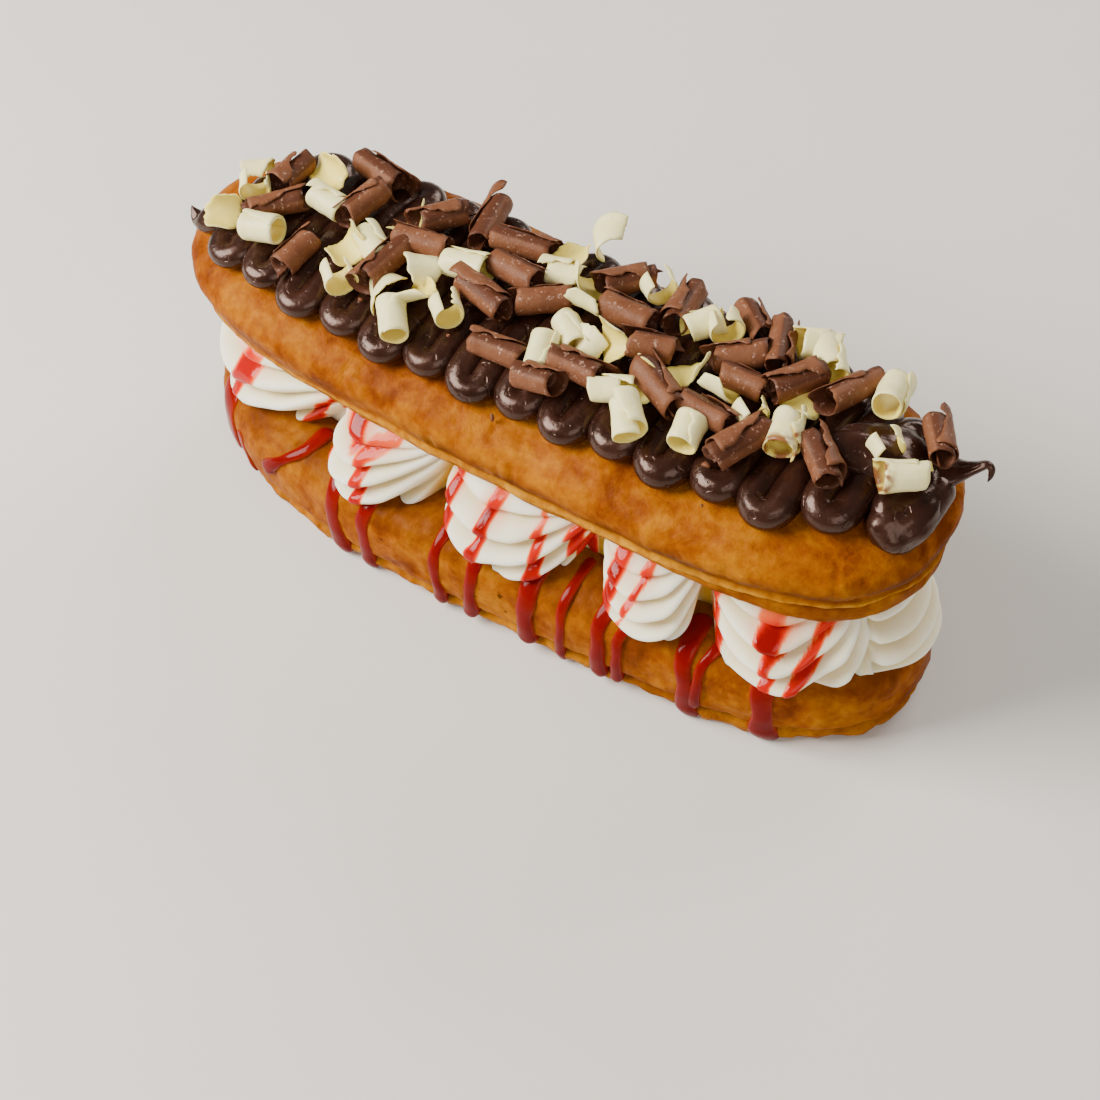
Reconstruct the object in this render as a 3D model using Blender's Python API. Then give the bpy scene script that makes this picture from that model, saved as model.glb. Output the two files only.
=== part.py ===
"""Filled chocolate eclair.

A baked finger bun cut into a lower half and a lid, with piped cream between them, a zigzag of
piped dark chocolate over the lid, and curls of milk and white chocolate scattered on the piping.

Metres. X runs along the bun, -Y is its front, +Z is up. The origin is under the middle of the
flat underside of the lower half.
"""

import math
import random

import bmesh
import bpy
import numpy as np
from mathutils import Euler, Matrix, Vector

# Gap between pieces that touch
GAP = 0.0004

# Lower half of the bun
BASE_HALF_LENGTH = 0.0805
BASE_HALF_WIDTH = 0.0284
BASE_SQUARENESS = 4.0
BASE_YAW = math.radians(0.7)
BASE_CENTRE_X = 0.0004
BASE_BEND = 0.0009
BASE_BEND_LENGTH = 0.115
BASE_BEND_START = 0.012
BASE_WIDEST_HEIGHT = 0.010
BASE_DOME_RISE = 0.0115
BASE_DOME_POWER = 3.6
BASE_FOOT_CREASE_HEIGHT = 0.0046

# Lid, the upper half of the bun
LID_HALF_LENGTH = 0.0824
LID_HALF_WIDTH = 0.0254
LID_SQUARENESS = 5.2
LID_YAW = math.radians(-0.7)
LID_CENTRE_Y = 0.0015
LID_LIP_HEIGHT = 0.0395
LID_ROLL = 0.070
LID_PITCH = 0.012
LID_END_LIFT = 0.0020
LID_WIDEST_RISE = 0.0060
LID_DOME_RISE = 0.0085
LID_DOME_POWER = 2.3
LID_FOOT_DEPTH = 0.0014
LID_FOOT_GROWTH = 0.0009
LID_FOOT_CREASE_SHARE = 0.65
LID_END_FOOT_DEPTH = 0.0028
LID_END_FOOT_START = 0.045
LID_END_FOOT_FULL = 0.068

# Slow rise and fall of the baked crust
SWELL_HEIGHT = 0.00035
SWELL_RATES = (97.0, 120.0)
FINE_SWELL_RATES = (176.0, 90.0)
FINE_SWELL_SHARE = 0.6

# Cream between the halves, piped as swirls along each side
CREAM_CENTRE_X = 0.0018
CREAM_HALF_LENGTH = 0.0704
CREAM_HALF_WIDTH = 0.0188
CREAM_SQUARENESS = 5.0
CREAM_BULGE = 0.0064
CREAM_VALLEY_DEPTH = 0.0034
CREAM_ROUNDNESS = 0.55
CREAM_RIDGE_DEPTH = 0.0008
CREAM_RIDGE_PITCH = 0.0072
CREAM_RIDGE_LEAN = -0.75
CREAM_FRONT_VALLEYS = (-0.0345, -0.0086, 0.0245, 0.0472, 0.0700)
CREAM_REAR_VALLEYS = (-0.046, -0.020, 0.006, 0.031, 0.055)
CREAM_END_VALLEY_Y = 0.012
CREAM_SHOULDER_INSET = 0.0021
CREAM_DRAW_IN = 0.8

# Zigzag of dark chocolate
STRAND_RADIUS = 0.0028
STRAND_FLATTENING = 0.97
LOBE_PITCH = 0.01005
FIRST_LOBE_X = -0.065
FRONT_LOBES = 15
FRONT_LOBE_INSET = 0.0048
REAR_LOBE_INSET = 0.0066
STRAND_GROWTH = 0.14
STRAND_UNDERCUT = 0.0009
LOBE_UNEVENNESS = 0.0008
LOBE_DRIFT_RATE = 310.0

# Pulled tail where the piping ends, and the torn tip where it starts
TAIL_POINTS = (
    (0.0735, 0.0050, 0.0030),
    (0.0780, 0.0060, 0.0042),
    (0.0812, 0.0070, 0.0056),
    (0.0838, 0.0078, 0.0070),
    (0.0850, 0.0074, 0.0060),
)
TAIL_RADIUS = 0.0034
TORN_TIP_POINTS = (
    (-0.0710, -0.0040, 0.0022),
    (-0.0752, -0.0058, 0.0030),
    (-0.0782, -0.0068, 0.0042),
)
TORN_TIP_RADIUS = 0.0026
PULLED_TAPER = 0.84
PULLED_LID_LIMIT = 0.0765

# Chocolate curls: kind, place along the lobes, share of the way from front to rear, heading in degrees,
# length in millimetres
CURLS = (
    ("petal", -0.3, 0.61, 35, 5.7),
    ("petal", -0.3, 0.26, 30, 7.2),
    ("ring", 0.0, 0.47, -50, 4.0),
    ("milk", 0.3, 0.63, 90, 7.5),
    ("milk", 0.6, 0.39, 50, 11.5),
    ("tube", 0.8, 0.24, 10, 7.6),
    ("petal", 0.9, 0.67, -20, 11.0),
    ("tube", 1.5, 0.55, -5, 7.2),
    ("milk", 1.6, 0.26, 80, 8.0),
    ("milk", 1.8, 0.86, -10, 11.5),
    ("milk", 2.1, 0.62, 80, 9.9),
    ("petal", 2.4, 0.36, -25, 6.6),
    ("ring", 2.7, 0.21, -35, 4.8),
    ("tube", 2.8, 0.43, -30, 7.6),
    ("petal", 3.0, 0.64, -30, 5.5),
    ("milk", 3.3, 0.38, 85, 11.5),
    ("milk", 3.6, 0.57, 10, 11.1),
    ("petal", 3.6, 0.30, -30, 8.5),
    ("milk", 3.6, 0.75, 55, 9.9),
    ("petal", 4.1, 0.45, 45, 6.8),
    ("milk", 4.3, 0.82, 105, 11.0),
    ("tube", 4.3, 0.15, -50, 7.4),
    ("petal", 4.4, 0.31, 10, 7.6),
    ("tube", 4.8, 0.51, 5, 9.0),
    ("ring", 5.1, 0.28, -40, 5.1),
    ("milk", 5.3, 0.78, 10, 11.8),
    ("milk", 5.5, 0.44, -15, 12.2),
    ("milk", 5.7, 0.61, -5, 10.2),
    ("petal", 6.2, 0.84, 95, 6.1),
    ("milk", 6.3, 0.24, 5, 10.4),
    ("tube", 6.4, 0.68, 15, 6.0),
    ("milk", 6.5, 0.52, 35, 9.9),
    ("petal", 6.7, 0.88, 110, 6.6),
    ("petal", 6.9, 0.70, -30, 7.3),
    ("tube", 7.1, 0.29, -70, 6.9),
    ("petal", 7.2, 0.58, -15, 7.1),
    ("tube", 7.3, 0.44, -35, 7.2),
    ("milk", 7.4, 0.19, 5, 8.0),
    ("milk", 7.5, 0.81, 55, 9.8),
    ("petal", 7.7, 0.44, 95, 5.2),
    ("milk", 7.9, 0.31, 0, 10.5),
    ("milk", 8.0, 0.64, 0, 10.1),
    ("ring", 8.1, 0.83, -40, 4.0),
    ("petal", 8.2, 0.45, 15, 5.6),
    ("tube", 8.7, 0.24, 20, 6.1),
    ("milk", 8.7, 0.78, 100, 10.8),
    ("milk", 8.8, 0.50, 20, 8.4),
    ("petal", 9.0, 0.34, -40, 7.6),
    ("tube", 9.3, 0.75, 50, 6.1),
    ("tube", 9.3, 0.17, -50, 7.2),
    ("milk", 9.4, 0.36, -25, 11.0),
    ("petal", 9.6, 0.49, -60, 6.2),
    ("ring", 9.7, 0.78, -45, 4.2),
    ("milk", 10.0, 0.93, -40, 9.5),
    ("milk", 10.2, 0.67, 35, 8.6),
    ("tube", 10.3, 0.23, -80, 5.6),
    ("petal", 10.3, 0.48, 0, 6.6),
    ("milk", 10.4, 0.34, -5, 10.0),
    ("milk", 10.6, 0.55, 0, 8.6),
    ("milk", 10.7, 0.78, -65, 11.6),
    ("ring", 11.1, 0.41, -35, 3.6),
    ("tube", 11.2, 0.86, 30, 6.5),
    ("milk", 11.3, 0.27, 65, 11.1),
    ("milk", 11.4, 0.65, 60, 9.8),
    ("tube", 11.6, 0.83, -50, 7.2),
    ("petal", 11.7, 0.56, 30, 6.4),
    ("tube", 11.9, 0.40, -70, 7.9),
    ("milk", 12.3, 0.70, 70, 10.4),
    ("milk", 12.6, 0.32, -40, 10.4),
    ("tube", 12.9, 0.77, -75, 8.2),
    ("ring", 13.3, 0.52, -35, 3.4),
    ("tube", 13.7, 0.43, 35, 7.4),
    ("milk", 13.8, 0.80, -55, 9.4),
)
# By kind: radius from and to, opening from and to in degrees, most roll, most tilt, segments
CURL_KINDS = {
    "milk": ((0.0023, 0.0027), (300.0, 335.0), 0.9, 0.12, 5),
    "tube": ((0.0024, 0.0028), (280.0, 330.0), 0.9, 0.14, 5),
    "ring": ((0.0026, 0.0033), (270.0, 320.0), 0.5, 0.10, 6),
    "petal": ((0.0029, 0.0038), (125.0, 175.0), 1.3, 0.30, 3),
}
CURL_SEED = 30
CURL_THICKNESS = 0.0008
CURL_SINK = 0.0012
CURL_MARGIN = 0.0042
CURL_MOST_RAISED = 0.0016
CURL_OVERLAP_REACH = 1.7
CURL_OVERLAP_LIFT = 0.8
CURL_MOST_LEAN = 0.0026
CURL_SLOPE_SPAN = 0.0030
CURL_GROWTH = 0.10
CURL_NEIGHBOURS = 9
PETAL_FACE_DOWN = 0.45

# Red sauce that runs down the front of the lower half: x, reach below the cream, width
DRIPS = (
    (-0.0660, 0.0140, 0.0034),
    (-0.0330, 0.0140, 0.0030),
    (-0.0255, 0.0150, 0.0024),
    (-0.0080, 0.0150, 0.0020),
    (0.0126, 0.0130, 0.0032),
    (0.0198, 0.0150, 0.0018),
    (0.0285, 0.0140, 0.0026),
    (0.0460, 0.0150, 0.0024),
    (0.0608, 0.0150, 0.0034),
)
DRIP_STATIONS = 5
DRIP_THICKNESS = 0.0008
DRIP_SINK = 0.0012
DRIP_TOP_HEIGHT = 0.0182
DRIP_WAIST = 0.35
DRIP_FLAT_SHARE = 0.55

# Mesh fineness
BUN_AROUND = 52
CREAM_AROUND = 116
COLUMNS_PER_LOBE = 6

COLOURS = {
    "baked_crust": ((0.76, 0.27, 0.012), 0.42),
    "whipped_cream": ((0.86, 0.80, 0.68), 0.45),
    "dark_chocolate": ((0.040, 0.018, 0.012), 0.22),
}


# Outlines and surfaces

def smooth_step(start, end, value):
    share = np.clip((value - start) / (end - start), 0.0, 1.0)
    return share * share * (3.0 - 2.0 * share)


def turned(x, y, angle):
    """The point turned about the vertical axis."""
    return x * math.cos(angle) - y * math.sin(angle), x * math.sin(angle) + y * math.cos(angle)


def outline(half_length, half_width, squareness, count):
    """Points evenly spaced round a long oval with blunt ends, as two arrays."""
    angles = np.linspace(0.0, 2.0 * math.pi, 4001)
    cosine = np.cos(angles)
    x = half_length * np.sign(cosine) * np.abs(cosine) ** (2.0 / squareness)
    y = half_width * np.sin(angles)
    travelled = np.concatenate([[0.0], np.cumsum(np.hypot(np.diff(x), np.diff(y)))])
    stops = np.linspace(0.0, travelled[-1], count, endpoint=False)
    return np.interp(stops, travelled, x), np.interp(stops, travelled, y)


def outline_half_width(x, half_length, half_width, squareness):
    share = np.clip(np.abs(x) / half_length, 0.0, 1.0)
    return half_width * np.sqrt(1.0 - share**squareness)


def inset_at(x, y, half_length, half_width, squareness):
    """How far the outline shrinks, in both half sizes, before it passes through each point."""
    low = np.zeros(np.broadcast(x, y).shape)
    high = np.full(low.shape, half_width * 0.999)
    for _ in range(26):
        middle = (low + high) / 2.0
        along = (np.abs(x) / (half_length - middle)) ** squareness
        inside = along + (y / (half_width - middle)) ** 2 < 1.0
        low = np.where(inside, middle, low)
        high = np.where(inside, high, middle)
    return low


def dome(inset, half_width, rise, power):
    share = np.clip(1.0 - inset / half_width, 0.0, 1.0)
    return rise * (1.0 - share**power) ** (1.0 / power)


def swell(x, y):
    """Slow bumps of the crust, the same for every piece that lies on it."""
    first = np.sin(x * SWELL_RATES[0] + 1.3) * np.cos(y * SWELL_RATES[1] + 0.4)
    second = np.sin(x * FINE_SWELL_RATES[0] - y * FINE_SWELL_RATES[1] + 2.1)
    return SWELL_HEIGHT * (first + FINE_SWELL_SHARE * second)


def base_bend(x):
    """Sideways drift of the lower half, which isn't quite straight."""
    return BASE_BEND * np.sin((x - BASE_BEND_START) * 2.0 * math.pi / BASE_BEND_LENGTH)


def base_top(x, y):
    """Height of the lower half's upper surface."""
    local_x, local_y = turned(x - BASE_CENTRE_X, y - base_bend(x), -BASE_YAW)
    inset = inset_at(local_x, local_y, BASE_HALF_LENGTH, BASE_HALF_WIDTH, BASE_SQUARENESS)
    rise = dome(inset, BASE_HALF_WIDTH, BASE_DOME_RISE, BASE_DOME_POWER)
    return BASE_WIDEST_HEIGHT + rise + swell(x, y)


def lip_height(x, y):
    """Height of the rolled lip round the lid's lower edge. The lid lies a little lower in front."""
    slope = LID_PITCH * x + LID_ROLL * (y - LID_CENTRE_Y)
    return LID_LIP_HEIGHT + slope + LID_END_LIFT * (x / LID_HALF_LENGTH) ** 2


def cut_height(x, y):
    """Height of the lid's cut face, which hangs lowest at the +X end."""
    growth = LID_FOOT_GROWTH * x / LID_HALF_LENGTH
    end = LID_END_FOOT_DEPTH * smooth_step(LID_END_FOOT_START, LID_END_FOOT_FULL, x)
    return lip_height(x, y) - LID_FOOT_DEPTH - growth - end


def lid_top(x, y):
    """Height of the lid's upper surface."""
    local_x, local_y = turned(x, y - LID_CENTRE_Y, -LID_YAW)
    inset = inset_at(local_x, local_y, LID_HALF_LENGTH, LID_HALF_WIDTH, LID_SQUARENESS)
    rise = dome(inset, LID_HALF_WIDTH, LID_DOME_RISE, LID_DOME_POWER)
    return lip_height(x, y) + LID_WIDEST_RISE + rise + swell(x, y)


# Mesh helpers

def material(name):
    colour, roughness = COLOURS[name]
    made = bpy.data.materials.new(name)
    made.use_nodes = True
    shader = made.node_tree.nodes["Principled BSDF"]
    shader.inputs["Base Color"].default_value = (*colour, 1.0)
    shader.inputs["Roughness"].default_value = roughness
    shader.inputs["Metallic"].default_value = 0.0
    made.diffuse_color = (*colour, 1.0)
    return made


def add_object(name, bm, slot):
    """A named object of the mesh, with its normals out and its round parts shaded smooth."""
    bmesh.ops.recalc_face_normals(bm, faces=bm.faces)
    mesh = bpy.data.meshes.new(name)
    bm.to_mesh(mesh)
    bm.free()
    mesh.materials.append(slot)
    mesh.shade_smooth()
    mesh.set_sharp_from_angle(angle=math.radians(50.0))
    made = bpy.data.objects.new(name, mesh)
    bpy.context.scene.collection.objects.link(made)
    return made


def loft(rings):
    """A closed body through rings of equal point counts. The first and last are closed across."""
    bm = bmesh.new()
    made = [[bm.verts.new(point) for point in ring] for ring in rings]
    count = len(made[0])
    for lower, upper in zip(made, made[1:]):
        for i in range(count):
            j = (i + 1) % count
            bm.faces.new((lower[i], lower[j], upper[j], upper[i]))
    for ring in (made[0], made[-1]):
        close_across(bm, ring)
    return bm


def close_across(bm, ring):
    """Closes a long ring by rungs between its two long sides. Its first point is at the +X tip."""
    count = len(ring)
    for i in range(count // 2):
        near, far = ring[i], ring[(count - i) % count]
        next_near, next_far = ring[i + 1], ring[(count - i - 1) % count]
        corners = list(dict.fromkeys((near, next_near, next_far, far)))
        if len(corners) > 2:
            bm.faces.new(corners)


def tube(points, radii, sides):
    """A round bar through the points with pointed ends closed by a fan."""
    bm = bmesh.new()
    rings = []
    for index, point in enumerate(points):
        before = points[max(index - 1, 0)]
        after = points[min(index + 1, len(points) - 1)]
        along = (after - before).normalized()
        across = along.cross(Vector((0.0, 0.0, 1.0))).normalized()
        up = across.cross(along)
        ring = []
        for side in range(sides):
            angle = 2.0 * math.pi * side / sides
            offset = across * math.cos(angle) + up * math.sin(angle)
            ring.append(bm.verts.new(point + offset * radii[index]))
        rings.append(ring)
    for lower, upper in zip(rings, rings[1:]):
        for i in range(sides):
            j = (i + 1) % sides
            bm.faces.new((lower[i], lower[j], upper[j], upper[i]))
    bm.faces.new(rings[0])
    bm.faces.new(rings[-1])
    return bm


def remove_scraps(target):
    """Keeps only the largest shell, following faces across edges that just two faces share."""
    bm = bmesh.new()
    bm.from_mesh(target.data)
    waiting = set(bm.faces)
    shells = []
    while waiting:
        shell = [waiting.pop()]
        edge_of_shell = list(shell)
        while edge_of_shell:
            face = edge_of_shell.pop()
            for edge in face.edges:
                if len(edge.link_faces) != 2:
                    continue
                for other in edge.link_faces:
                    if other in waiting:
                        waiting.discard(other)
                        shell.append(other)
                        edge_of_shell.append(other)
        shells.append(shell)
    shells.sort(key=len)
    scraps = [face for shell in shells[:-1] for face in shell]
    bmesh.ops.delete(bm, geom=scraps, context="FACES")
    bm.to_mesh(target.data)
    bm.free()


def fuse(target, pieces):
    """Joins the pieces to the target with one Boolean union, applied, and removes them."""
    group = bpy.data.collections.new(target.name + "_pieces")
    bpy.context.scene.collection.children.link(group)
    for piece in pieces:
        bpy.context.scene.collection.objects.unlink(piece)
        group.objects.link(piece)
    union = target.modifiers.new("union", "BOOLEAN")
    union.operation = "UNION"
    union.solver = "MANIFOLD"
    union.operand_type = "COLLECTION"
    union.collection = group
    bpy.context.view_layer.objects.active = target
    bpy.context.view_layer.update()
    bpy.ops.object.modifier_apply(modifier=union.name)
    for piece in pieces:
        bpy.data.objects.remove(piece)
    bpy.data.collections.remove(group)
    remove_scraps(target)


# Lower half

def base_ring(inset, height):
    """One ring of the lower half, shrunk by the inset. Without a height it lies on the dome."""
    x, y = outline(BASE_HALF_LENGTH, BASE_HALF_WIDTH, BASE_SQUARENESS, BUN_AROUND)
    x = x * (BASE_HALF_LENGTH - inset) / BASE_HALF_LENGTH
    y = y * (BASE_HALF_WIDTH - inset) / BASE_HALF_WIDTH
    x, y = turned(x, y, BASE_YAW)
    x = x + BASE_CENTRE_X
    y = y + base_bend(x)
    if height is None:
        rise = dome(inset, BASE_HALF_WIDTH, BASE_DOME_RISE, BASE_DOME_POWER)
        z = BASE_WIDEST_HEIGHT + rise + swell(x, y)
    else:
        share = height / BASE_WIDEST_HEIGHT
        z = height + swell(x, y) * share
    return list(zip(x, y, np.broadcast_to(z, x.shape)))


def drip(x, reach, width):
    """A flat run of sauce that follows the front of the lower half down from the cream."""
    bm = bmesh.new()
    section = (
        (-1.0, -DRIP_SINK),
        (-DRIP_FLAT_SHARE, DRIP_THICKNESS),
        (DRIP_FLAT_SHARE, DRIP_THICKNESS),
        (1.0, -DRIP_SINK),
    )
    rings = []
    for index in range(DRIP_STATIONS):
        share = index / (DRIP_STATIONS - 1)
        height = DRIP_TOP_HEIGHT - reach * share
        half = width / 2.0 * (1.0 - DRIP_WAIST * math.sin(math.pi * share))
        ring = []
        for side, out in section:
            place = x + half * side
            ring.append(bm.verts.new((place, front_of_base(place, height) - out, height)))
        rings.append(ring)
    for upper, lower in zip(rings, rings[1:]):
        for i in range(4):
            j = (i + 1) % 4
            bm.faces.new((upper[i], upper[j], lower[j], lower[i]))
    bm.faces.new(rings[0])
    bm.faces.new(rings[-1])
    return bm


def front_of_base(x, height):
    """The y of the front surface of the lower half at a height."""
    if height < BASE_WIDEST_HEIGHT:
        insets, heights = zip(*base_side_profile())
        inset = float(np.interp(height, heights, insets))
    else:
        share = min((height - BASE_WIDEST_HEIGHT) / BASE_DOME_RISE, 0.999)
        inset = BASE_HALF_WIDTH * (1.0 - (1.0 - share**BASE_DOME_POWER) ** (1.0 / BASE_DOME_POWER))
    local_x = x - BASE_CENTRE_X
    half_width = outline_half_width(
        local_x, BASE_HALF_LENGTH - inset, BASE_HALF_WIDTH - inset, BASE_SQUARENESS
    )
    return float(local_x * math.sin(BASE_YAW) - half_width + base_bend(x))


def base_side_profile():
    """Inset and height from the flat underside, over the crease of the foot, to the widest part."""
    crease = BASE_FOOT_CREASE_HEIGHT
    return (
        (0.0034, 0.0),
        (0.0015, 0.0010),
        (0.0007, crease - 0.0016),
        (0.0014, crease),
        (0.0004, crease + 0.0014),
        (0.0, BASE_WIDEST_HEIGHT),
    )


def build_base(slot):
    rings = [base_ring(inset, height) for inset, height in base_side_profile()]
    for inset in (0.0008, 0.0026, 0.0060, 0.0115, 0.0190, 0.0262):
        rings.append(base_ring(inset, None))
    base = add_object("bun_bottom", loft(rings), slot)
    pieces = [
        add_object(f"drip_{index}", drip(x, reach, width), slot)
        for index, (x, reach, width) in enumerate(DRIPS)
    ]
    fuse(base, pieces)
    return base


# Lid

def lid_ring(inset, rise):
    """One ring of the lid. Rise is measured from the lip, or 'cut' and 'dome' name a surface."""
    x, y = outline(LID_HALF_LENGTH, LID_HALF_WIDTH, LID_SQUARENESS, BUN_AROUND)
    x = x * (LID_HALF_LENGTH - inset) / LID_HALF_LENGTH
    y = y * (LID_HALF_WIDTH - inset) / LID_HALF_WIDTH
    x, y = turned(x, y, LID_YAW)
    y = y + LID_CENTRE_Y
    if rise == "cut":
        z = cut_height(x, y)
    elif rise == "foot":
        cut = cut_height(x, y)
        z = cut + (lip_height(x, y) - GAP / 2.0 - cut) * LID_FOOT_CREASE_SHARE
    elif rise == "dome":
        bulge = dome(inset, LID_HALF_WIDTH, LID_DOME_RISE, LID_DOME_POWER)
        z = lip_height(x, y) + LID_WIDEST_RISE + bulge + swell(x, y)
    else:
        z = lip_height(x, y) + rise + swell(x, y) * rise / LID_WIDEST_RISE
    return list(zip(x, y, z))


def build_lid(slot):
    levels = [
        (0.0030, "cut"),
        (0.0018, "foot"),
        (0.0022, 0.0001),
        (0.0009, 0.0007),
        (0.0002, 0.0028),
        (0.0, LID_WIDEST_RISE),
    ]
    levels += [(inset, "dome") for inset in (0.0007, 0.0026, 0.0060, 0.0110, 0.0170, 0.0236)]
    return add_object("bun_top", loft([lid_ring(*level) for level in levels]), slot)


# Cream

def cream_bulge(x, y):
    """How far each outline point of the cream swells out of its swirl, from 0 in a valley to 1."""
    count = len(x)
    valleys = []
    for side, places in ((-1.0, CREAM_FRONT_VALLEYS), (1.0, CREAM_REAR_VALLEYS)):
        for place in places:
            wrong_side = np.where(y * side < 0.0, 1.0, 0.0)
            valleys.append(int(np.argmin(np.abs(x + CREAM_CENTRE_X - place) + wrong_side)))
    for end in (-1.0, 1.0):
        wrong_end = np.where(x * end < 0.0, 1.0, 0.0)
        valleys.append(int(np.argmin(np.abs(y - CREAM_END_VALLEY_Y) + wrong_end)))
    valleys.sort()
    bulge = np.zeros(count)
    for start, end in zip(valleys, valleys[1:] + [valleys[0] + count]):
        for index in range(start, end):
            share = (index - start) / (end - start)
            bulge[index % count] = math.sin(math.pi * share) ** CREAM_ROUNDNESS
    return bulge


def cream_ring(bulge, fixed, swelling, rise):
    """One ring of the cream, at a share of the way from the lower half up to the lid."""
    x, y = outline(CREAM_HALF_LENGTH, CREAM_HALF_WIDTH, CREAM_SQUARENESS, CREAM_AROUND)
    travelled = np.cumsum(np.hypot(np.diff(x, append=x[0]), np.diff(y, append=y[0])))
    turns = travelled / CREAM_RIDGE_PITCH + CREAM_RIDGE_LEAN * rise
    ridge = CREAM_RIDGE_DEPTH * np.cos(2.0 * math.pi * turns) * bulge
    out = fixed + swelling * bulge - CREAM_VALLEY_DEPTH * (1.0 - bulge) + ridge
    x = x * (CREAM_HALF_LENGTH + out) / CREAM_HALF_LENGTH + CREAM_CENTRE_X
    y = y * (CREAM_HALF_WIDTH + out) / CREAM_HALF_WIDTH + base_bend(x)
    kept_x, kept_y = kept_on_shoulder(x, y)
    if rise == 0.0:
        x, y = kept_x, kept_y
    floor = base_top(kept_x, kept_y) + GAP
    ceiling = cut_height(x, y) - GAP
    return list(zip(x, y, floor + (ceiling - floor) * rise))


def kept_on_shoulder(x, y):
    """Points drawn in until they lie over the lower half's rounded shoulder."""
    local_x, local_y = turned(x - BASE_CENTRE_X, y - base_bend(x), -BASE_YAW)
    inset = inset_at(local_x, local_y, BASE_HALF_LENGTH, BASE_HALF_WIDTH, BASE_SQUARENESS)
    short = np.clip(CREAM_SHOULDER_INSET - inset, 0.0, None)
    beyond = np.maximum(np.abs(local_y) - BASE_HALF_WIDTH, np.abs(local_x) - BASE_HALF_LENGTH)
    short = short + np.clip(beyond, 0.0, None) * CREAM_DRAW_IN
    return x * (1.0 - short / BASE_HALF_LENGTH), y * (1.0 - short / BASE_HALF_WIDTH)


def build_cream(slot):
    x, y = outline(CREAM_HALF_LENGTH, CREAM_HALF_WIDTH, CREAM_SQUARENESS, CREAM_AROUND)
    bulge = cream_bulge(x, y)
    # Outward reach, fixed and by bulge, and height, from the middle below to the middle above
    levels = (
        (-0.0080, 0.0, 0.0),
        (-0.0020, 0.30, 0.0),
        (0.0, 0.62, 0.0),
        (0.0002, 0.98, 0.03),
        (0.0006, 1.12, 0.20),
        (0.0006, 1.02, 0.48),
        (0.0002, 0.66, 0.78),
        (-0.0006, 0.22, 1.0),
        (-0.0080, 0.0, 1.0),
    )
    rings = [cream_ring(bulge, fixed, share * CREAM_BULGE, rise) for fixed, share, rise in levels]
    return add_object("cream", loft(rings), slot)


# Piped chocolate

def lobe_limits(x):
    """Front and rear limits of the strand's outer edge at each x."""
    half = outline_half_width(x, LID_HALF_LENGTH, LID_HALF_WIDTH, LID_SQUARENESS)
    drift = LOBE_UNEVENNESS * np.sin(x * LOBE_DRIFT_RATE + 0.6)
    front = LID_CENTRE_Y - half + FRONT_LOBE_INSET + drift
    rear = LID_CENTRE_Y + half - REAR_LOBE_INSET + drift
    return front, rear


def strand_distance(x, y):
    """Distance from the centre line of the zigzag, which turns back in half circles."""
    quarter = LOBE_PITCH / 4.0
    turns = (x - FIRST_LOBE_X) / LOBE_PITCH
    from_lobe = (turns - np.round(turns)) * LOBE_PITCH
    from_rear_lobe = LOBE_PITCH / 2.0 - np.abs(from_lobe)
    lobe_x = FIRST_LOBE_X + np.round(turns) * LOBE_PITCH
    front, _ = lobe_limits(lobe_x)
    rear_x = FIRST_LOBE_X + (np.floor(turns) + 0.5) * LOBE_PITCH
    _, rear = lobe_limits(rear_x)
    outer = quarter + STRAND_RADIUS
    front_centre = front + outer
    rear_centre = rear - outer
    straight = np.abs(np.abs(from_lobe) - quarter)
    front_turn = np.abs(np.hypot(from_lobe, y - front_centre) - quarter)
    rear_turn = np.abs(np.hypot(from_rear_lobe, y - rear_centre) - quarter)
    return np.where(y < front_centre, front_turn, np.where(y > rear_centre, rear_turn, straight))


def strand_edges(x):
    """Front and rear edges of the piping at each x."""
    quarter = LOBE_PITCH / 4.0
    outer = quarter + STRAND_RADIUS
    turns = (x - FIRST_LOBE_X) / LOBE_PITCH
    nearest = np.clip(np.round(turns), -1, FRONT_LOBES - 1)
    lobe_x = FIRST_LOBE_X + nearest * LOBE_PITCH
    from_lobe = np.clip(np.abs(x - lobe_x), 0.0, outer)
    nearest_rear = np.clip(np.floor(turns), -1, FRONT_LOBES - 2) + 0.5
    rear_x = FIRST_LOBE_X + nearest_rear * LOBE_PITCH
    from_rear_lobe = np.clip(np.abs(x - rear_x), 0.0, outer)
    front = lobe_limits(lobe_x)[0] + outer - np.sqrt(outer**2 - from_lobe**2)
    rear = lobe_limits(rear_x)[1] - outer + np.sqrt(outer**2 - from_rear_lobe**2)
    return front, rear


def strand_height(x, y):
    """Height of the piping over the lid: round crests, with grooves where two runs meet."""
    share = np.clip(strand_distance(x, y) / STRAND_RADIUS, 0.0, 1.0)
    growth = 1.0 + STRAND_GROWTH * x / LID_HALF_LENGTH
    return STRAND_RADIUS * STRAND_FLATTENING * growth * (1.0 + np.sqrt(1.0 - share**2))


def piping_columns():
    """The x of each column of the piping's mesh."""
    first = FIRST_LOBE_X - LOBE_PITCH / 2.0 - LOBE_PITCH / 4.0 - STRAND_RADIUS
    last = FIRST_LOBE_X + (FRONT_LOBES - 1) * LOBE_PITCH + LOBE_PITCH / 4.0 + STRAND_RADIUS
    step = LOBE_PITCH / COLUMNS_PER_LOBE
    inner = np.arange(FIRST_LOBE_X - LOBE_PITCH * 2.0 / 3.0, last - step / 3.0, step)
    return np.concatenate([[first], inner, [last]])


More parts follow.
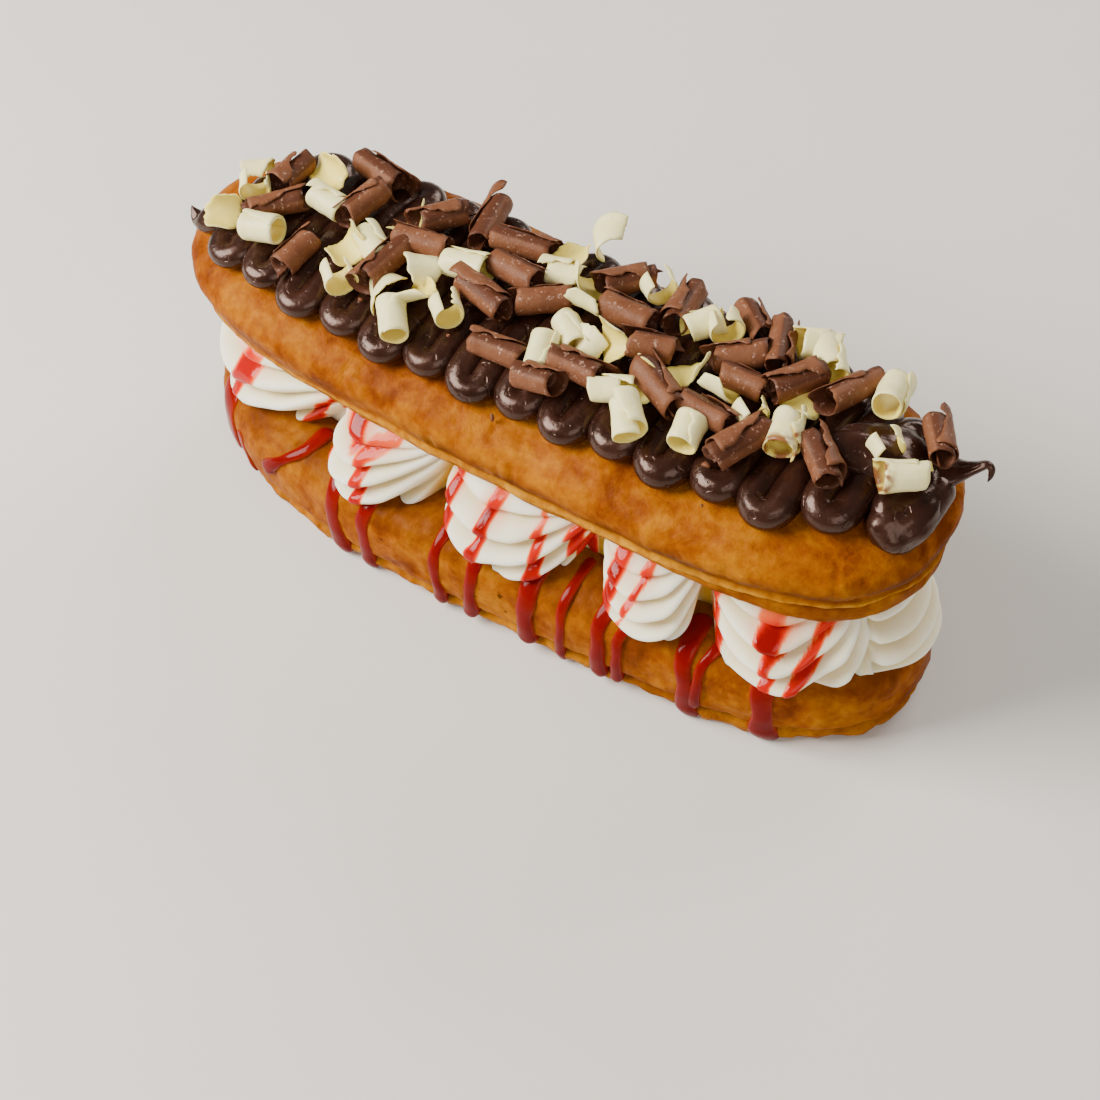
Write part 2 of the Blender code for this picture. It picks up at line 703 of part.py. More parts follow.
def build_piping(slot):
    """The zigzag as one closed body: a ridged upper side and a lower side that follows the lid."""
    columns = piping_columns()
    front, rear = strand_edges(columns)
    shares = np.array([0.0, 0.0, 0.03, 0.10, 0.20, 0.40, 0.60, 0.80, 0.90, 0.97, 1.0, 1.0])
    under = np.zeros(len(shares), bool)
    under[[0, -1]] = True
    x = np.repeat(columns[:, None], len(shares), axis=1)
    y = front[:, None] + (rear - front)[:, None] * shares[None, :]
    height = strand_height(x, y)
    height[:, [1, -2]] = STRAND_RADIUS
    height[[0, -1], :] = STRAND_RADIUS
    # The outermost rows and columns turn in under the strand, down to the lid.
    y[:, 0] += STRAND_UNDERCUT
    y[:, -1] -= STRAND_UNDERCUT
    height[:, [0, -1]] = GAP
    z = lid_top(x, y) + height

    bm = bmesh.new()
    grid = [[bm.verts.new(point) for point in zip(*row)] for row in zip(x, y, z)]
    rows, across = len(grid), len(shares)
    # The lower side has fewer rows than the upper one.
    lower_shares = (0.0, 0.15, 0.38, 0.62, 0.85, 1.0)
    lower = []
    for i in range(rows):
        line = [grid[i][0]]
        for share in lower_shares[1:-1]:
            low_y = y[i, 0] + (y[i, -1] - y[i, 0]) * share
            shift = STRAND_UNDERCUT if i == 0 else -STRAND_UNDERCUT if i == rows - 1 else 0.0
            low_x = columns[i] + shift
            low_z = float(lid_top(np.array(low_x), np.array(low_y))) + GAP
            line.append(bm.verts.new((low_x, low_y, low_z)))
        line.append(grid[i][-1])
        lower.append(line)
    for i in range(rows - 1):
        for j in range(across - 1):
            bm.faces.new((grid[i][j], grid[i + 1][j], grid[i + 1][j + 1], grid[i][j + 1]))
        for j in range(len(lower_shares) - 1):
            bm.faces.new((lower[i][j], lower[i][j + 1], lower[i + 1][j + 1], lower[i + 1][j]))
    for i in (0, rows - 1):
        bm.faces.new(grid[i] + lower[i][-2:0:-1])
    bmesh.ops.triangulate(bm, faces=[face for face in bm.faces if len(face.verts) > 4])
    return add_object("chocolate_topping", bm, slot)


def pulled_end(points, radius, sides=6):
    """A tapering tip of chocolate through points given as x, y and height over the lid."""
    centres = []
    for x, y, height in points:
        inner_x = min(max(x, -PULLED_LID_LIMIT), PULLED_LID_LIMIT)
        z = float(lid_top(np.array(inner_x), np.array(y))) + height
        centres.append(Vector((x, y, z)))
    last = len(points) - 1
    radii = [radius * (1.0 - PULLED_TAPER * index / last) for index in range(len(points))]
    return tube(centres, radii, sides)


# Curls

def curl_mesh(place):
    """A strip rolled round X. Lean slides each step along X, as in a curl rolled at a slant."""
    bm = bmesh.new()
    stations = []
    segments = CURL_KINDS[place["kind"]][4]
    half = place["run"][3] / 2.0
    for step in range(segments + 1):
        share = step / segments
        angle = math.radians(-90.0 + place["sweep"] * (share - 0.5))
        outer = place["radius"] * (1.0 + CURL_GROWTH * share)
        inner = outer - CURL_THICKNESS
        slide = place["lean"] * (share - 0.5)
        station = []
        for reach, end in ((outer, -half), (outer, half), (inner, half), (inner, -half)):
            point = (end + slide, reach * math.cos(angle), reach * math.sin(angle))
            station.append(bm.verts.new(point))
        stations.append(station)
    for first, second in zip(stations, stations[1:]):
        for i in range(4):
            j = (i + 1) % 4
            bm.faces.new((first[i], first[j], second[j], second[i]))
    bm.faces.new(stations[0])
    bm.faces.new(stations[-1])
    return bm


def run_gap(first, second):
    """Smallest distance in plan between two curls, each given as x, y, yaw and length."""
    steps = np.linspace(-0.5, 0.5, 7)
    ends = []
    for x, y, yaw, length in (first, second):
        ends.append((x + steps * length * math.cos(yaw), y + steps * length * math.sin(yaw)))
    across = ends[0][0][:, None] - ends[1][0][None, :]
    along = ends[0][1][:, None] - ends[1][1][None, :]
    return float(np.hypot(across, along).min())


def curl_places():
    """Each curl's kind, size and place. A curl that crosses an earlier one lies a little higher."""
    draw = random.Random(CURL_SEED)
    places = []
    for kind, lobe, share, heading, length in CURLS:
        radii, sweeps, most_roll, most_tilt, _ = CURL_KINDS[kind]
        x = FIRST_LOBE_X + lobe * LOBE_PITCH
        front, rear = (float(limit) for limit in lobe_limits(x))
        y = min(max(front + (rear - front) * share, front + CURL_MARGIN), rear - CURL_MARGIN)
        run = (x, y, math.radians(heading), length / 1000.0)
        radius = draw.uniform(*radii)
        near = [run_gap(run, other["run"]) for other in places[-CURL_NEIGHBOURS:]]
        crowding = max(0.0, CURL_OVERLAP_REACH * radius - min(near, default=1.0))
        roll = draw.uniform(-most_roll, most_roll)
        turned_over = kind == "petal" and draw.random() < PETAL_FACE_DOWN
        places.append({
            "kind": kind,
            "run": run,
            "radius": radius,
            "sweep": draw.uniform(*sweeps),
            "raised": min(crowding * CURL_OVERLAP_LIFT, CURL_MOST_RAISED),
            "tilt": draw.uniform(-most_tilt, most_tilt),
            "roll": roll + (math.pi if turned_over else 0.0),
            "lean": draw.uniform(-CURL_MOST_LEAN, CURL_MOST_LEAN),
        })
    return places


def lid_slope(x, y):
    """Turn that lays a flat thing along the lid at a point."""
    span = CURL_SLOPE_SPAN
    here_x, here_y = np.array([x - span, x + span, x, x]), np.array([y, y, y - span, y + span])
    heights = lid_top(here_x, here_y)
    normal = Vector((heights[0] - heights[1], heights[2] - heights[3], 2.0 * span))
    return Vector((0.0, 0.0, 1.0)).rotation_difference(normal).to_matrix().to_4x4()


def lay_curl(bm, place):
    """Turns a curl, and sets it down until its lowest point rests in the piping."""
    x, y, yaw, _ = place["run"]
    bm.transform(Euler((place["roll"], place["tilt"], 0.0)).to_matrix().to_4x4())
    crest = 2.0 * STRAND_RADIUS * STRAND_FLATTENING * (1.0 + STRAND_GROWTH * x / LID_HALF_LENGTH)
    corners = np.array([vert.co for vert in bm.verts])
    middle_x, middle_y = (corners[:, :2].min(axis=0) + corners[:, :2].max(axis=0)) / 2.0
    raised = crest - CURL_SINK + place["raised"] - corners[:, 2].min()
    up = Matrix.Translation((-middle_x, -middle_y, raised))
    foot = Matrix.Translation((x, y, float(lid_top(np.array(x), np.array(y)))))
    bm.transform(foot @ lid_slope(x, y) @ Matrix.Rotation(yaw, 4, "Z") @ up)


def build_topping(slot):
    topping = build_piping(slot)
    pieces = [
        add_object("tail", pulled_end(TAIL_POINTS, TAIL_RADIUS), slot),
        add_object("torn_tip", pulled_end(TORN_TIP_POINTS, TORN_TIP_RADIUS), slot),
    ]
    for index, place in enumerate(curl_places()):
        bm = curl_mesh(place)
        lay_curl(bm, place)
        pieces.append(add_object(f"curl_{index}", bm, slot))
    fuse(topping, pieces)
    return topping


def main():
    for existing in list(bpy.data.objects):
        bpy.data.objects.remove(existing)
    slots = {name: material(name) for name in COLOURS}
    build_base(slots["baked_crust"])
    build_cream(slots["whipped_cream"])
    build_lid(slots["baked_crust"])
    build_topping(slots["dark_chocolate"])


main()
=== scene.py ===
import math
import random

import bpy
import numpy as np
from mathutils import Euler, Matrix, Vector


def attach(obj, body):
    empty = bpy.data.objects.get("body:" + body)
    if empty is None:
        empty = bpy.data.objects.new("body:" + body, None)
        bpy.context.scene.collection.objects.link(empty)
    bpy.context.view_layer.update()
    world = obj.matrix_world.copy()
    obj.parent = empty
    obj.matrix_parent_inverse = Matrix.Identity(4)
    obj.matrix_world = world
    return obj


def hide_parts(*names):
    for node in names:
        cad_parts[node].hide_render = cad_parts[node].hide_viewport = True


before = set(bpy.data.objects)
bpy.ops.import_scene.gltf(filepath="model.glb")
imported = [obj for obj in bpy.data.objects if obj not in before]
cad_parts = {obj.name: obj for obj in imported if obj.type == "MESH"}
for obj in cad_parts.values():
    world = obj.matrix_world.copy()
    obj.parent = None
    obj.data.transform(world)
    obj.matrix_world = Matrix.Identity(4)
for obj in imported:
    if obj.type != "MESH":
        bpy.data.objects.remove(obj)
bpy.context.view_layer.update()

# Camera, at the viewing angle of the photograph
CAMERA_AZIMUTH = math.radians(39.4)
CAMERA_ELEVATION = math.radians(50.45)
CAMERA_ROLL = math.radians(5.43)
CAMERA_DISTANCE = 0.381
CAMERA_TARGET = Vector((0.01467, -0.02165, 0.025))
CAMERA_LENS = 67.8
CAMERA_SENSOR = 36.0

# Lights: name, place, size, power and colour
LIGHTS = (
    ("key", (-0.50, -0.38, 0.52), (0.46, 0.46), 16.0, (1.0, 0.98, 0.95)),
    ("rear", (0.12, 0.75, 0.50), (0.60, 0.30), 5.0, (1.0, 0.97, 0.94)),
    ("fill", (0.60, -0.60, 0.65), (0.60, 0.60), 3.8, (1.0, 1.0, 1.0)),
)
LIGHT_TARGET = Vector((0.0, 0.0, 0.03))
WORLD_COLOUR = (1.0, 0.98, 0.95, 1.0)
WORLD_STRENGTH = 0.24
FLOOR_HALF_SIZE = 3.0

MILLIMETRE = 0.001
# Gaps that the cream leaves over the lower half and under the lid
GAP_BELOW_CREAM = 0.0002
GAP_ABOVE_CREAM = 0.0001

# Lower half of the bun. A shape is a half length, half width and squareness
BASE_SHAPE = (0.0805, 0.0284, 4.0)
BASE_YAW = math.radians(0.7)
BASE_CENTRE_X = 0.0004
BASE_BEND = 0.0009
BASE_BEND_LENGTH = 0.115
BASE_BEND_START = 0.012
BASE_WIDEST_HEIGHT = 0.010
BASE_DOME_RISE = 0.0115
BASE_DOME_POWER = 3.6
BASE_CREASE_HEIGHT = 0.0046
BASE_CREASE_INSET = 0.0016
BASE_AROUND = 620
BASE_UNDER_RINGS = 6
BASE_UNDER_INSETS = (0.026, 0.0036)
BASE_DOME_REACH = 0.0262
BASE_DOME_RINGS = 42

# Lid
LID_SHAPE = (0.0824, 0.0254, 5.2)
LID_YAW = math.radians(-0.7)
LID_CENTRE_Y = 0.0015
LID_LIP_HEIGHT = 0.0395
LID_ROLL = 0.070
LID_PITCH = 0.012
LID_END_LIFT = 0.0020
LID_WIDEST_RISE = 0.0060
LID_DOME_RISE = 0.0085
LID_DOME_POWER = 2.3
LID_FOOT_DEPTH = 0.0014
LID_FOOT_GROWTH = 0.0009
LID_END_FOOT_DEPTH = 0.0028
LID_END_FOOT_START = 0.045
LID_END_FOOT_FULL = 0.068
LID_AROUND = 640
LID_UNDER_RINGS = 4
LID_UNDER_INSETS = (0.0240, 0.0034)
LID_DOME_REACH = 0.0240
LID_SIDE_RINGS = 64
LID_DOME_RINGS = 44
LID_PLAIN_INSET = 0.0015
# Side of the lid: inset, share of the way from the cut face up to the lip, and rise over the lip
LID_SIDE = (
    (0.0031, 0.0, 0.0), (0.0021, 0.10, 0.0), (0.0017, 0.45, 0.0), (0.0018, 0.80, 0.0),
    (0.0024, 1.0, 0.0), (0.0012, 1.0, 0.0005), (0.0008, 1.0, 0.0014), (0.0012, 1.0, 0.0024),
    (0.0005, 1.0, 0.0038), (0.0001, 1.0, 0.0050), (0.0, 1.0, LID_WIDEST_RISE),
)

# Layers of unevenness on the crust: depth, size, seed and stretch along the axes
BASE_LUMPS = ((0.00042, 0.010, 3, 1.0), (0.00012, 0.0024, 9, 1.0), (0.00016, 0.0021, 21, (1.0, 1.0, 0.35)))
BASE_FOOT_RUMPLES = ((0.00050, 0.0038, 33, (1.0, 1.0, 0.55)),)
LID_LUMPS = ((0.00040, 0.012, 53, 1.0), (0.00011, 0.0026, 59, 1.0))
LID_BEAD_LUMPS = ((0.00035, 0.0024, 67, (0.5, 0.5, 1.0)),)

# Slow rise and fall of the crust
SWELL_HEIGHT = 0.00035
SWELL_RATES = (97.0, 120.0)
FINE_SWELL_RATES = (176.0, 90.0)
FINE_SWELL_SHARE = 0.6

# Cream
CREAM_SHAPE = (0.0704, 0.0188, 5.0)
CREAM_CENTRE_X = 0.0018
CREAM_BULGE = 0.0064
CREAM_VALLEY_DEPTH = 0.0034
CREAM_ROUNDNESS = 0.55
CREAM_RIDGE_DEPTH = 0.0019
CREAM_RIDGES = 6.0
CREAM_RIDGE_CURL = 1.4
CREAM_RIDGE_WANDER = 0.16
CREAM_SWIRL_SHIFT = 0.37
CREAM_TALLNESS = 0.0205
CREAM_POCKET = 0.20
CREAM_UNEVENNESS = 0.00055
CREAM_FRONT_VALLEYS = (-0.0345, -0.0086, 0.0245, 0.0472, 0.0700)
CREAM_REAR_VALLEYS = (-0.046, -0.020, 0.006, 0.031, 0.055)
CREAM_END_VALLEY_Y = 0.012
CREAM_SHOULDER_INSET = 0.0021
CREAM_DRAW_IN = 0.8
CREAM_AROUND = 900
CREAM_RINGS = 104
# Rings of the cream from below: share of the way up, fixed growth and share of the bulge
CREAM_LEVELS = (
    (0.00, -0.0080, 0.0), (0.00, -0.0020, 0.30), (0.00, 0.0, 0.62), (0.03, 0.0002, 0.98),
    (0.20, 0.0006, 1.12), (0.48, 0.0006, 1.02), (0.78, 0.0002, 0.66), (1.00, -0.0006, 0.22),
    (1.00, -0.0080, 0.0),
)
# Yellow custard between swirls at the front: x and width
CUSTARD = ((-0.0098, 0.0050), (0.0232, 0.0046), (0.0448, 0.0030))
STREAK_SPAN = 0.0165
SAUCE_ON_CREAM = 0.0003

# Piped strand
STRAND_RADIUS = 0.0028
STRAND_FLATTENING = 0.97
LOBE_PITCH = 0.01005
FIRST_LOBE_X = -0.065
FRONT_LOBES = 15
FRONT_LOBE_INSET = 0.0048
REAR_LOBE_INSET = 0.0066
STRAND_GROWTH = 0.14
LOBE_UNEVENNESS = 0.0008
LOBE_DRIFT_RATE = 310.0
STRAND_SIDES = 28
STRAND_STEP = 0.00042
STRAND_WIDENING = 1.09
STRAND_SEED = 7
STRAND_WANDER = 0.00035
STRAND_REST = 0.98
FRONT_LOBE_PLAY = 0.0004
REAR_LOBE_PLAY = 0.0005
FIRST_RUN_SHORTER = 0.003
RUN_STEPS = 30
TURN_STEPS = 24
LAST_RUN_END_Y = 0.006
GRAIN_RADIUS = 0.0040
PULLED_SIDES = 36
PULLED_LID_REACH = 0.0765

# Curls: kind, place along the lobes, share of the way from front to rear, heading in degrees,
# length in millimetres
CURLS = (
    ("petal", -0.3, 0.61, 35, 5.7),
    ("petal", -0.3, 0.26, 30, 7.2),
    ("ring", 0.0, 0.47, -50, 4.0),
    ("milk", 0.3, 0.63, 90, 7.5),
    ("milk", 0.6, 0.39, 50, 11.5),
    ("tube", 0.8, 0.24, 10, 7.6),
    ("petal", 0.9, 0.67, -20, 11.0),
    ("tube", 1.5, 0.55, -5, 7.2),
    ("milk", 1.6, 0.26, 80, 8.0),
    ("milk", 1.8, 0.86, -10, 11.5),
    ("milk", 2.1, 0.62, 80, 9.9),
    ("petal", 2.4, 0.36, -25, 6.6),
    ("ring", 2.7, 0.21, -35, 4.8),
    ("tube", 2.8, 0.43, -30, 7.6),
    ("petal", 3.0, 0.64, -30, 5.5),
    ("milk", 3.3, 0.38, 85, 11.5),
    ("milk", 3.6, 0.57, 10, 11.1),
    ("petal", 3.6, 0.30, -30, 8.5),
    ("milk", 3.6, 0.75, 55, 9.9),
    ("petal", 4.1, 0.45, 45, 6.8),
    ("milk", 4.3, 0.82, 105, 11.0),
    ("tube", 4.3, 0.15, -50, 7.4),
    ("petal", 4.4, 0.31, 10, 7.6),
    ("tube", 4.8, 0.51, 5, 9.0),
    ("ring", 5.1, 0.28, -40, 5.1),
    ("milk", 5.3, 0.78, 10, 11.8),
    ("milk", 5.5, 0.44, -15, 12.2),
    ("milk", 5.7, 0.61, -5, 10.2),
    ("petal", 6.2, 0.84, 95, 6.1),
    ("milk", 6.3, 0.24, 5, 10.4),
    ("tube", 6.4, 0.68, 15, 6.0),
    ("milk", 6.5, 0.52, 35, 9.9),
    ("petal", 6.7, 0.88, 110, 6.6),
    ("petal", 6.9, 0.70, -30, 7.3),
    ("tube", 7.1, 0.29, -70, 6.9),
    ("petal", 7.2, 0.58, -15, 7.1),
    ("tube", 7.3, 0.44, -35, 7.2),
    ("milk", 7.4, 0.19, 5, 8.0),
    ("milk", 7.5, 0.81, 55, 9.8),
    ("petal", 7.7, 0.44, 95, 5.2),
    ("milk", 7.9, 0.31, 0, 10.5),
    ("milk", 8.0, 0.64, 0, 10.1),
    ("ring", 8.1, 0.83, -40, 4.0),
    ("petal", 8.2, 0.45, 15, 5.6),
    ("tube", 8.7, 0.24, 20, 6.1),
    ("milk", 8.7, 0.78, 100, 10.8),
    ("milk", 8.8, 0.50, 20, 8.4),
    ("petal", 9.0, 0.34, -40, 7.6),
    ("tube", 9.3, 0.75, 50, 6.1),
    ("tube", 9.3, 0.17, -50, 7.2),
    ("milk", 9.4, 0.36, -25, 11.0),
    ("petal", 9.6, 0.49, -60, 6.2),
    ("ring", 9.7, 0.78, -45, 4.2),
    ("milk", 10.0, 0.93, -40, 9.5),
    ("milk", 10.2, 0.67, 35, 8.6),
    ("tube", 10.3, 0.23, -80, 5.6),
    ("petal", 10.3, 0.48, 0, 6.6),
    ("milk", 10.4, 0.34, -5, 10.0),
    ("milk", 10.6, 0.55, 0, 8.6),
    ("milk", 10.7, 0.78, -65, 11.6),
    ("ring", 11.1, 0.41, -35, 3.6),
    ("tube", 11.2, 0.86, 30, 6.5),
    ("milk", 11.3, 0.27, 65, 11.1),
    ("milk", 11.4, 0.65, 60, 9.8),
    ("tube", 11.6, 0.83, -50, 7.2),
    ("petal", 11.7, 0.56, 30, 6.4),
    ("tube", 11.9, 0.40, -70, 7.9),
    ("milk", 12.3, 0.70, 70, 10.4),
    ("milk", 12.6, 0.32, -40, 10.4),
    ("tube", 12.9, 0.77, -75, 8.2),
    ("ring", 13.3, 0.52, -35, 3.4),
    ("tube", 13.7, 0.43, 35, 7.4),
    ("milk", 13.8, 0.80, -55, 9.4),
)
# Radius from and to, opening from and to in degrees, most roll and most tilt in radians
CURL_SIZES = {
    "milk": ((0.0023, 0.0027), (300.0, 335.0), 0.9, 0.12),
    "tube": ((0.0024, 0.0028), (280.0, 330.0), 0.9, 0.14),
    "ring": ((0.0026, 0.0033), (270.0, 320.0), 0.5, 0.10),
    "petal": ((0.0029, 0.0038), (125.0, 175.0), 1.3, 0.30),
}
# By kind: steps round, thickness, share of the radius left at the inner end, raggedness of the ends,
# slant and cone
CURL_FORMS = {
    "milk": (54, 0.00042, 0.50, 0.13, 0.09, 0.05),
    "tube": (40, 0.00050, 0.86, 0.05, 0.06, 0.10),
    "ring": (44, 0.00050, 0.94, 0.05, 0.04, 0.10),
    "petal": (26, 0.00050, 0.94, 0.12, 0.05, 0.34),
}
# Turn of the sheet that is wound inside, from and to in degrees
CURL_WINDING = {"milk": (140.0, 300.0), "tube": (85.0, 170.0)}
CURL_ALONG = 13
CURL_SHEET_SEED = 500
CURL_WAVE = 0.00010
CURL_SEED = 30
CURL_NEIGHBOURS = 9
PETAL_FACE_DOWN = 0.45
CURL_SINK = 0.0012
CURL_MARGIN = 0.0042
CURL_MOST_RAISED = 0.0016
CURL_OVERLAP_REACH = 1.7
CURL_OVERLAP_LIFT = 0.8
CURL_MOST_LEAN = 0.0026
CURL_SLOPE_SPAN = 0.0030
CURL_GROWTH = 0.10

# Sauce on the front of the cream. Each stop of a streak: x in millimetres, share of the way up,
# half width in millimetres and strength
CREAM_STREAKS = (
    ((-56.5, 0.92, 1.6, 0.30), (-60.0, 0.62, 2.8, 0.85), (-66.0, 0.12, 0.7, 0.80)),
    ((-36.0, 0.90, 0.8, 0.75), (-41.0, 0.50, 1.0, 0.95), (-46.5, 0.04, 1.2, 0.70)),
    ((-28.5, 1.00, 1.8, 1.00), (-27.5, 0.80, 1.8, 0.85)),
    ((-36.5, 0.50, 0.9, 0.90), (-36.2, 0.02, 1.3, 0.85)),
    ((-20.0, 0.96, 2.0, 0.40), (-25.5, 0.66, 1.3, 0.55), (-26.6, 0.02, 1.2, 0.95)),
    ((-4.8, 1.00, 0.8, 0.60), (-6.2, 0.60, 1.0, 0.98), (-7.0, 0.05, 0.9, 0.80)),
    ((5.2, 1.00, 1.0, 0.30), (3.6, 0.72, 1.2, 1.00), (0.6, 0.04, 1.1, 0.85)),
    ((14.0, 1.00, 0.8, 0.25), (13.8, 0.60, 1.0, 0.65), (13.4, 0.02, 1.4, 1.00)),
    ((23.0, 0.92, 1.0, 0.50), (20.0, 0.72, 1.2, 0.70), (19.8, 0.02, 1.1, 0.80)),
    ((31.5, 1.00, 1.4, 0.40), (30.3, 0.66, 1.4, 0.95), (28.0, 0.02, 1.2, 0.90)),
    ((37.0, 0.98, 0.8, 0.30), (36.2, 0.68, 0.8, 0.80), (32.0, 0.02, 0.6, 0.45)),
    ((45.2, 1.00, 0.6, 0.80), (45.5, 0.55, 0.5, 0.50)),
    ((48.0, 1.00, 0.8, 0.45), (48.8, 0.50, 1.0, 0.85), (50.0, 0.02, 1.2, 0.85)),
    ((59.8, 0.92, 2.2, 0.25), (61.2, 0.66, 2.2, 1.00), (62.0, 0.30, 1.0, 0.70),
     (62.2, 0.02, 1.1, 0.80)),
    ((69.0, 0.98, 1.0, 0.50), (66.8, 0.10, 1.0, 0.75)),
)

# Runs of sauce down the front of the lower half, in millimetres: x at the top and at the end,
# inset of the top, height of the end, half width and depth
SAUCE_RUNS = (
    (-69.0, -68.4, 8.5, 3.0, 3.1, 0.6),
    (-63.4, -62.6, 0.1, 1.0, 1.0, 0.3),
    (-40.5, -51.8, 10.8, 11.2, 1.8, 0.9),
    (-33.4, -33.0, 9.5, 0.8, 2.1, 0.9),
    (-24.5, -26.1, 7.5, 0.6, 1.7, 0.8),
    (-7.2, -8.3, 9.5, 1.6, 1.4, 0.7),
    (1.6, -0.9, 7.5, 2.0, 1.6, 0.8),
    (12.8, 12.5, 7.5, 2.6, 2.1, 1.0),
    (20.8, 19.6, 11.2, 1.0, 1.1, 0.6),
    (28.6, 27.8, 9.0, 2.0, 1.7, 0.9),
    (33.6, 31.6, 7.0, 2.6, 1.2, 0.7),
    (44.8, 46.7, 9.5, 0.4, 1.9, 0.9),
    (50.8, 47.3, 7.0, 5.0, 1.2, 0.7),
    (60.2, 61.0, 6.5, 0.4, 2.4, 1.0),
)
SAUCE_CREASE_INSET = 0.0006
SHOULDER_REACH = 0.0125
SHOULDER_STEPS = 59
SAUCE_ACROSS = 17
SAUCE_STEP = 0.0004
SAUCE_PROBE = 0.0002
SAUCE_FILM = 0.0002
SAUCE_SUNK = 0.0008
SAUCE_LOWEST = 0.0001
SAUCE_FEWEST_ROWS = 14
SAUCE_DRIFT = 0.00035
SAUCE_DEEP_HALF_WIDTH = 0.0013

# Lumps that end the piping: name, rings, seed, depth of the folds, and stops in millimetres, each
# with x, y, height over the lid, half width and half height
PULLED_PIECES = (
    ("pulled_tail", 90, 151, 0.10, (
        (56.0, -3.0, 4.0, 0.6, 0.6),
        (61.0, -1.0, 4.6, 4.2, 3.4),
        (66.5, 1.5, 4.4, 5.8, 4.0),
        (72.0, 3.5, 3.6, 5.8, 3.6),
        (76.2, 5.2, 3.4, 4.2, 2.6),
        (79.8, 6.6, 4.6, 2.6, 1.4),
        (82.4, 7.4, 6.4, 1.4, 0.8),
        (84.2, 8.0, 7.8, 0.8, 0.6),
        (85.2, 7.8, 7.4, 0.6, 0.5),
        (85.4, 7.2, 6.2, 0.4, 0.4),
        (85.2, 6.8, 5.2, 0.1, 0.1),
    )),
    ("torn_wall", 70, 161, 0.15, (
        (73.7, 9.0, 2.0, 0.8, 0.8),
        (75.4, 5.2, 2.2, 3.6, 3.0),
        (76.3, 0.4, 2.4, 4.5, 3.8),
        (76.2, -4.0, 2.4, 5.1, 4.2),
        (75.2, -7.2, 2.2, 4.9, 4.0),
        (74.3, -9.4, 1.8, 3.7, 3.0),
        (73.7, -10.5, 1.4, 0.4, 0.4),
    )),
    ("torn_tip", 40, 171, 0.12, (
        (-67.0, -4.0, 3.0, 0.6, 0.6),
        (-70.0, -6.2, 3.0, 3.0, 2.6),
        (-73.5, -7.8, 2.6, 3.0, 2.4),
        (-76.0, -8.0, 2.6, 2.0, 1.4),
        (-77.8, -7.6, 3.4, 1.0, 0.8),
        (-78.8, -7.2, 4.2, 0.1, 0.1),
    )),
)

# Crumbs of chocolate, in millimetres: x, y, height over the lid and half sizes
CRUMB_SEED = 77
CRUMB_BREAKS = 0.28
CRUMB_RINGS = ((0.80, -0.62), (1.0, 0.05), (0.72, 0.66))
CRUMBS = (
    (43.7, -13.7, 5.8, (0.9, 0.6, 0.5)),
    (47.5, -15.2, 4.6, (0.5, 0.4, 0.4)),
    (2.2, -19.0, 1.6, (0.35, 0.3, 1.3)),
    (45.5, -18.0, 2.0, (0.4, 0.3, 0.3)),
    (-12.0, -12.0, 6.0, (0.4, 0.4, 0.3)),
    (-32.0, -12.5, 6.0, (0.5, 0.4, 0.3)),
    (30.0, 15.0, 5.5, (0.5, 0.5, 0.4)),
    (-5.0, 16.0, 5.2, (0.6, 0.5, 0.4)),
)


# Outlines and surfaces

def joined(*parts):
    """Values side by side along the last axis of one array."""
    return np.stack(np.broadcast_arrays(*parts), axis=-1)


def travelled_to(*line):
    """Distance along a line up to each of its points, from the line's coordinates."""
    steps = np.linalg.norm(np.diff(np.stack(line), axis=1), axis=0)
    return np.concatenate([[0.0], np.cumsum(steps)])


def bell(value, width, power=2):
    """1 at zero, falling to nothing over the width on both sides."""
    return np.exp(-np.abs(value / width) ** power)


def smooth_step(start, end, value):
    share = np.clip((value - start) / (end - start), 0.0, 1.0)
    return share * share * (3.0 - 2.0 * share)


def turned(x, y, angle):
    """The point turned about the vertical axis."""
    return x * math.cos(angle) - y * math.sin(angle), x * math.sin(angle) + y * math.cos(angle)


def outline(shape, count):
    """Points evenly spaced round a long oval with blunt ends, as two arrays."""
    half_length, half_width, squareness = shape
    angles = np.linspace(0.0, 2.0 * math.pi, 8001)
    cosine = np.cos(angles)
    x = half_length * np.sign(cosine) * np.abs(cosine) ** (2.0 / squareness)
    y = half_width * np.sin(angles)
    travelled = travelled_to(x, y)
    stops = np.linspace(0.0, travelled[-1], count, endpoint=False)
    return np.interp(stops, travelled, x), np.interp(stops, travelled, y)


def half_width_at(x, shape, inset=0.0):
    """Half width of an outline that is shrunk by the inset, at each x."""
    share = np.clip(np.abs(x) / (shape[0] - inset), 0.0, 0.9999)
    return (shape[1] - inset) * np.sqrt(1.0 - share ** shape[2])


def inset_at(x, y, shape):
    """How far the outline shrinks, in both half sizes, before it passes through each point."""
    half_length, half_width, squareness = shape
    low = np.zeros(np.broadcast(x, y).shape)
    high = np.full(low.shape, half_width * 0.999)
    for _ in range(26):
        middle = (low + high) / 2.0
        along = (np.abs(x) / (half_length - middle)) ** squareness
        inside = along + (y / (half_width - middle)) ** 2 < 1.0
        low = np.where(inside, middle, low)
        high = np.where(inside, high, middle)
    return low


def spread(reach, count, power):
    """Insets from near zero up to the reach, closer together at the start."""
    return reach * (np.arange(1, count + 1) / count) ** power


def dome(inset, half_width, rise, power):
    share = np.clip(1.0 - inset / half_width, 0.0, 1.0)
    return rise * (1.0 - share**power) ** (1.0 / power)


def base_dome(inset):
    return dome(inset, BASE_SHAPE[1], BASE_DOME_RISE, BASE_DOME_POWER)


def lid_dome(inset):
    return dome(inset, LID_SHAPE[1], LID_DOME_RISE, LID_DOME_POWER)


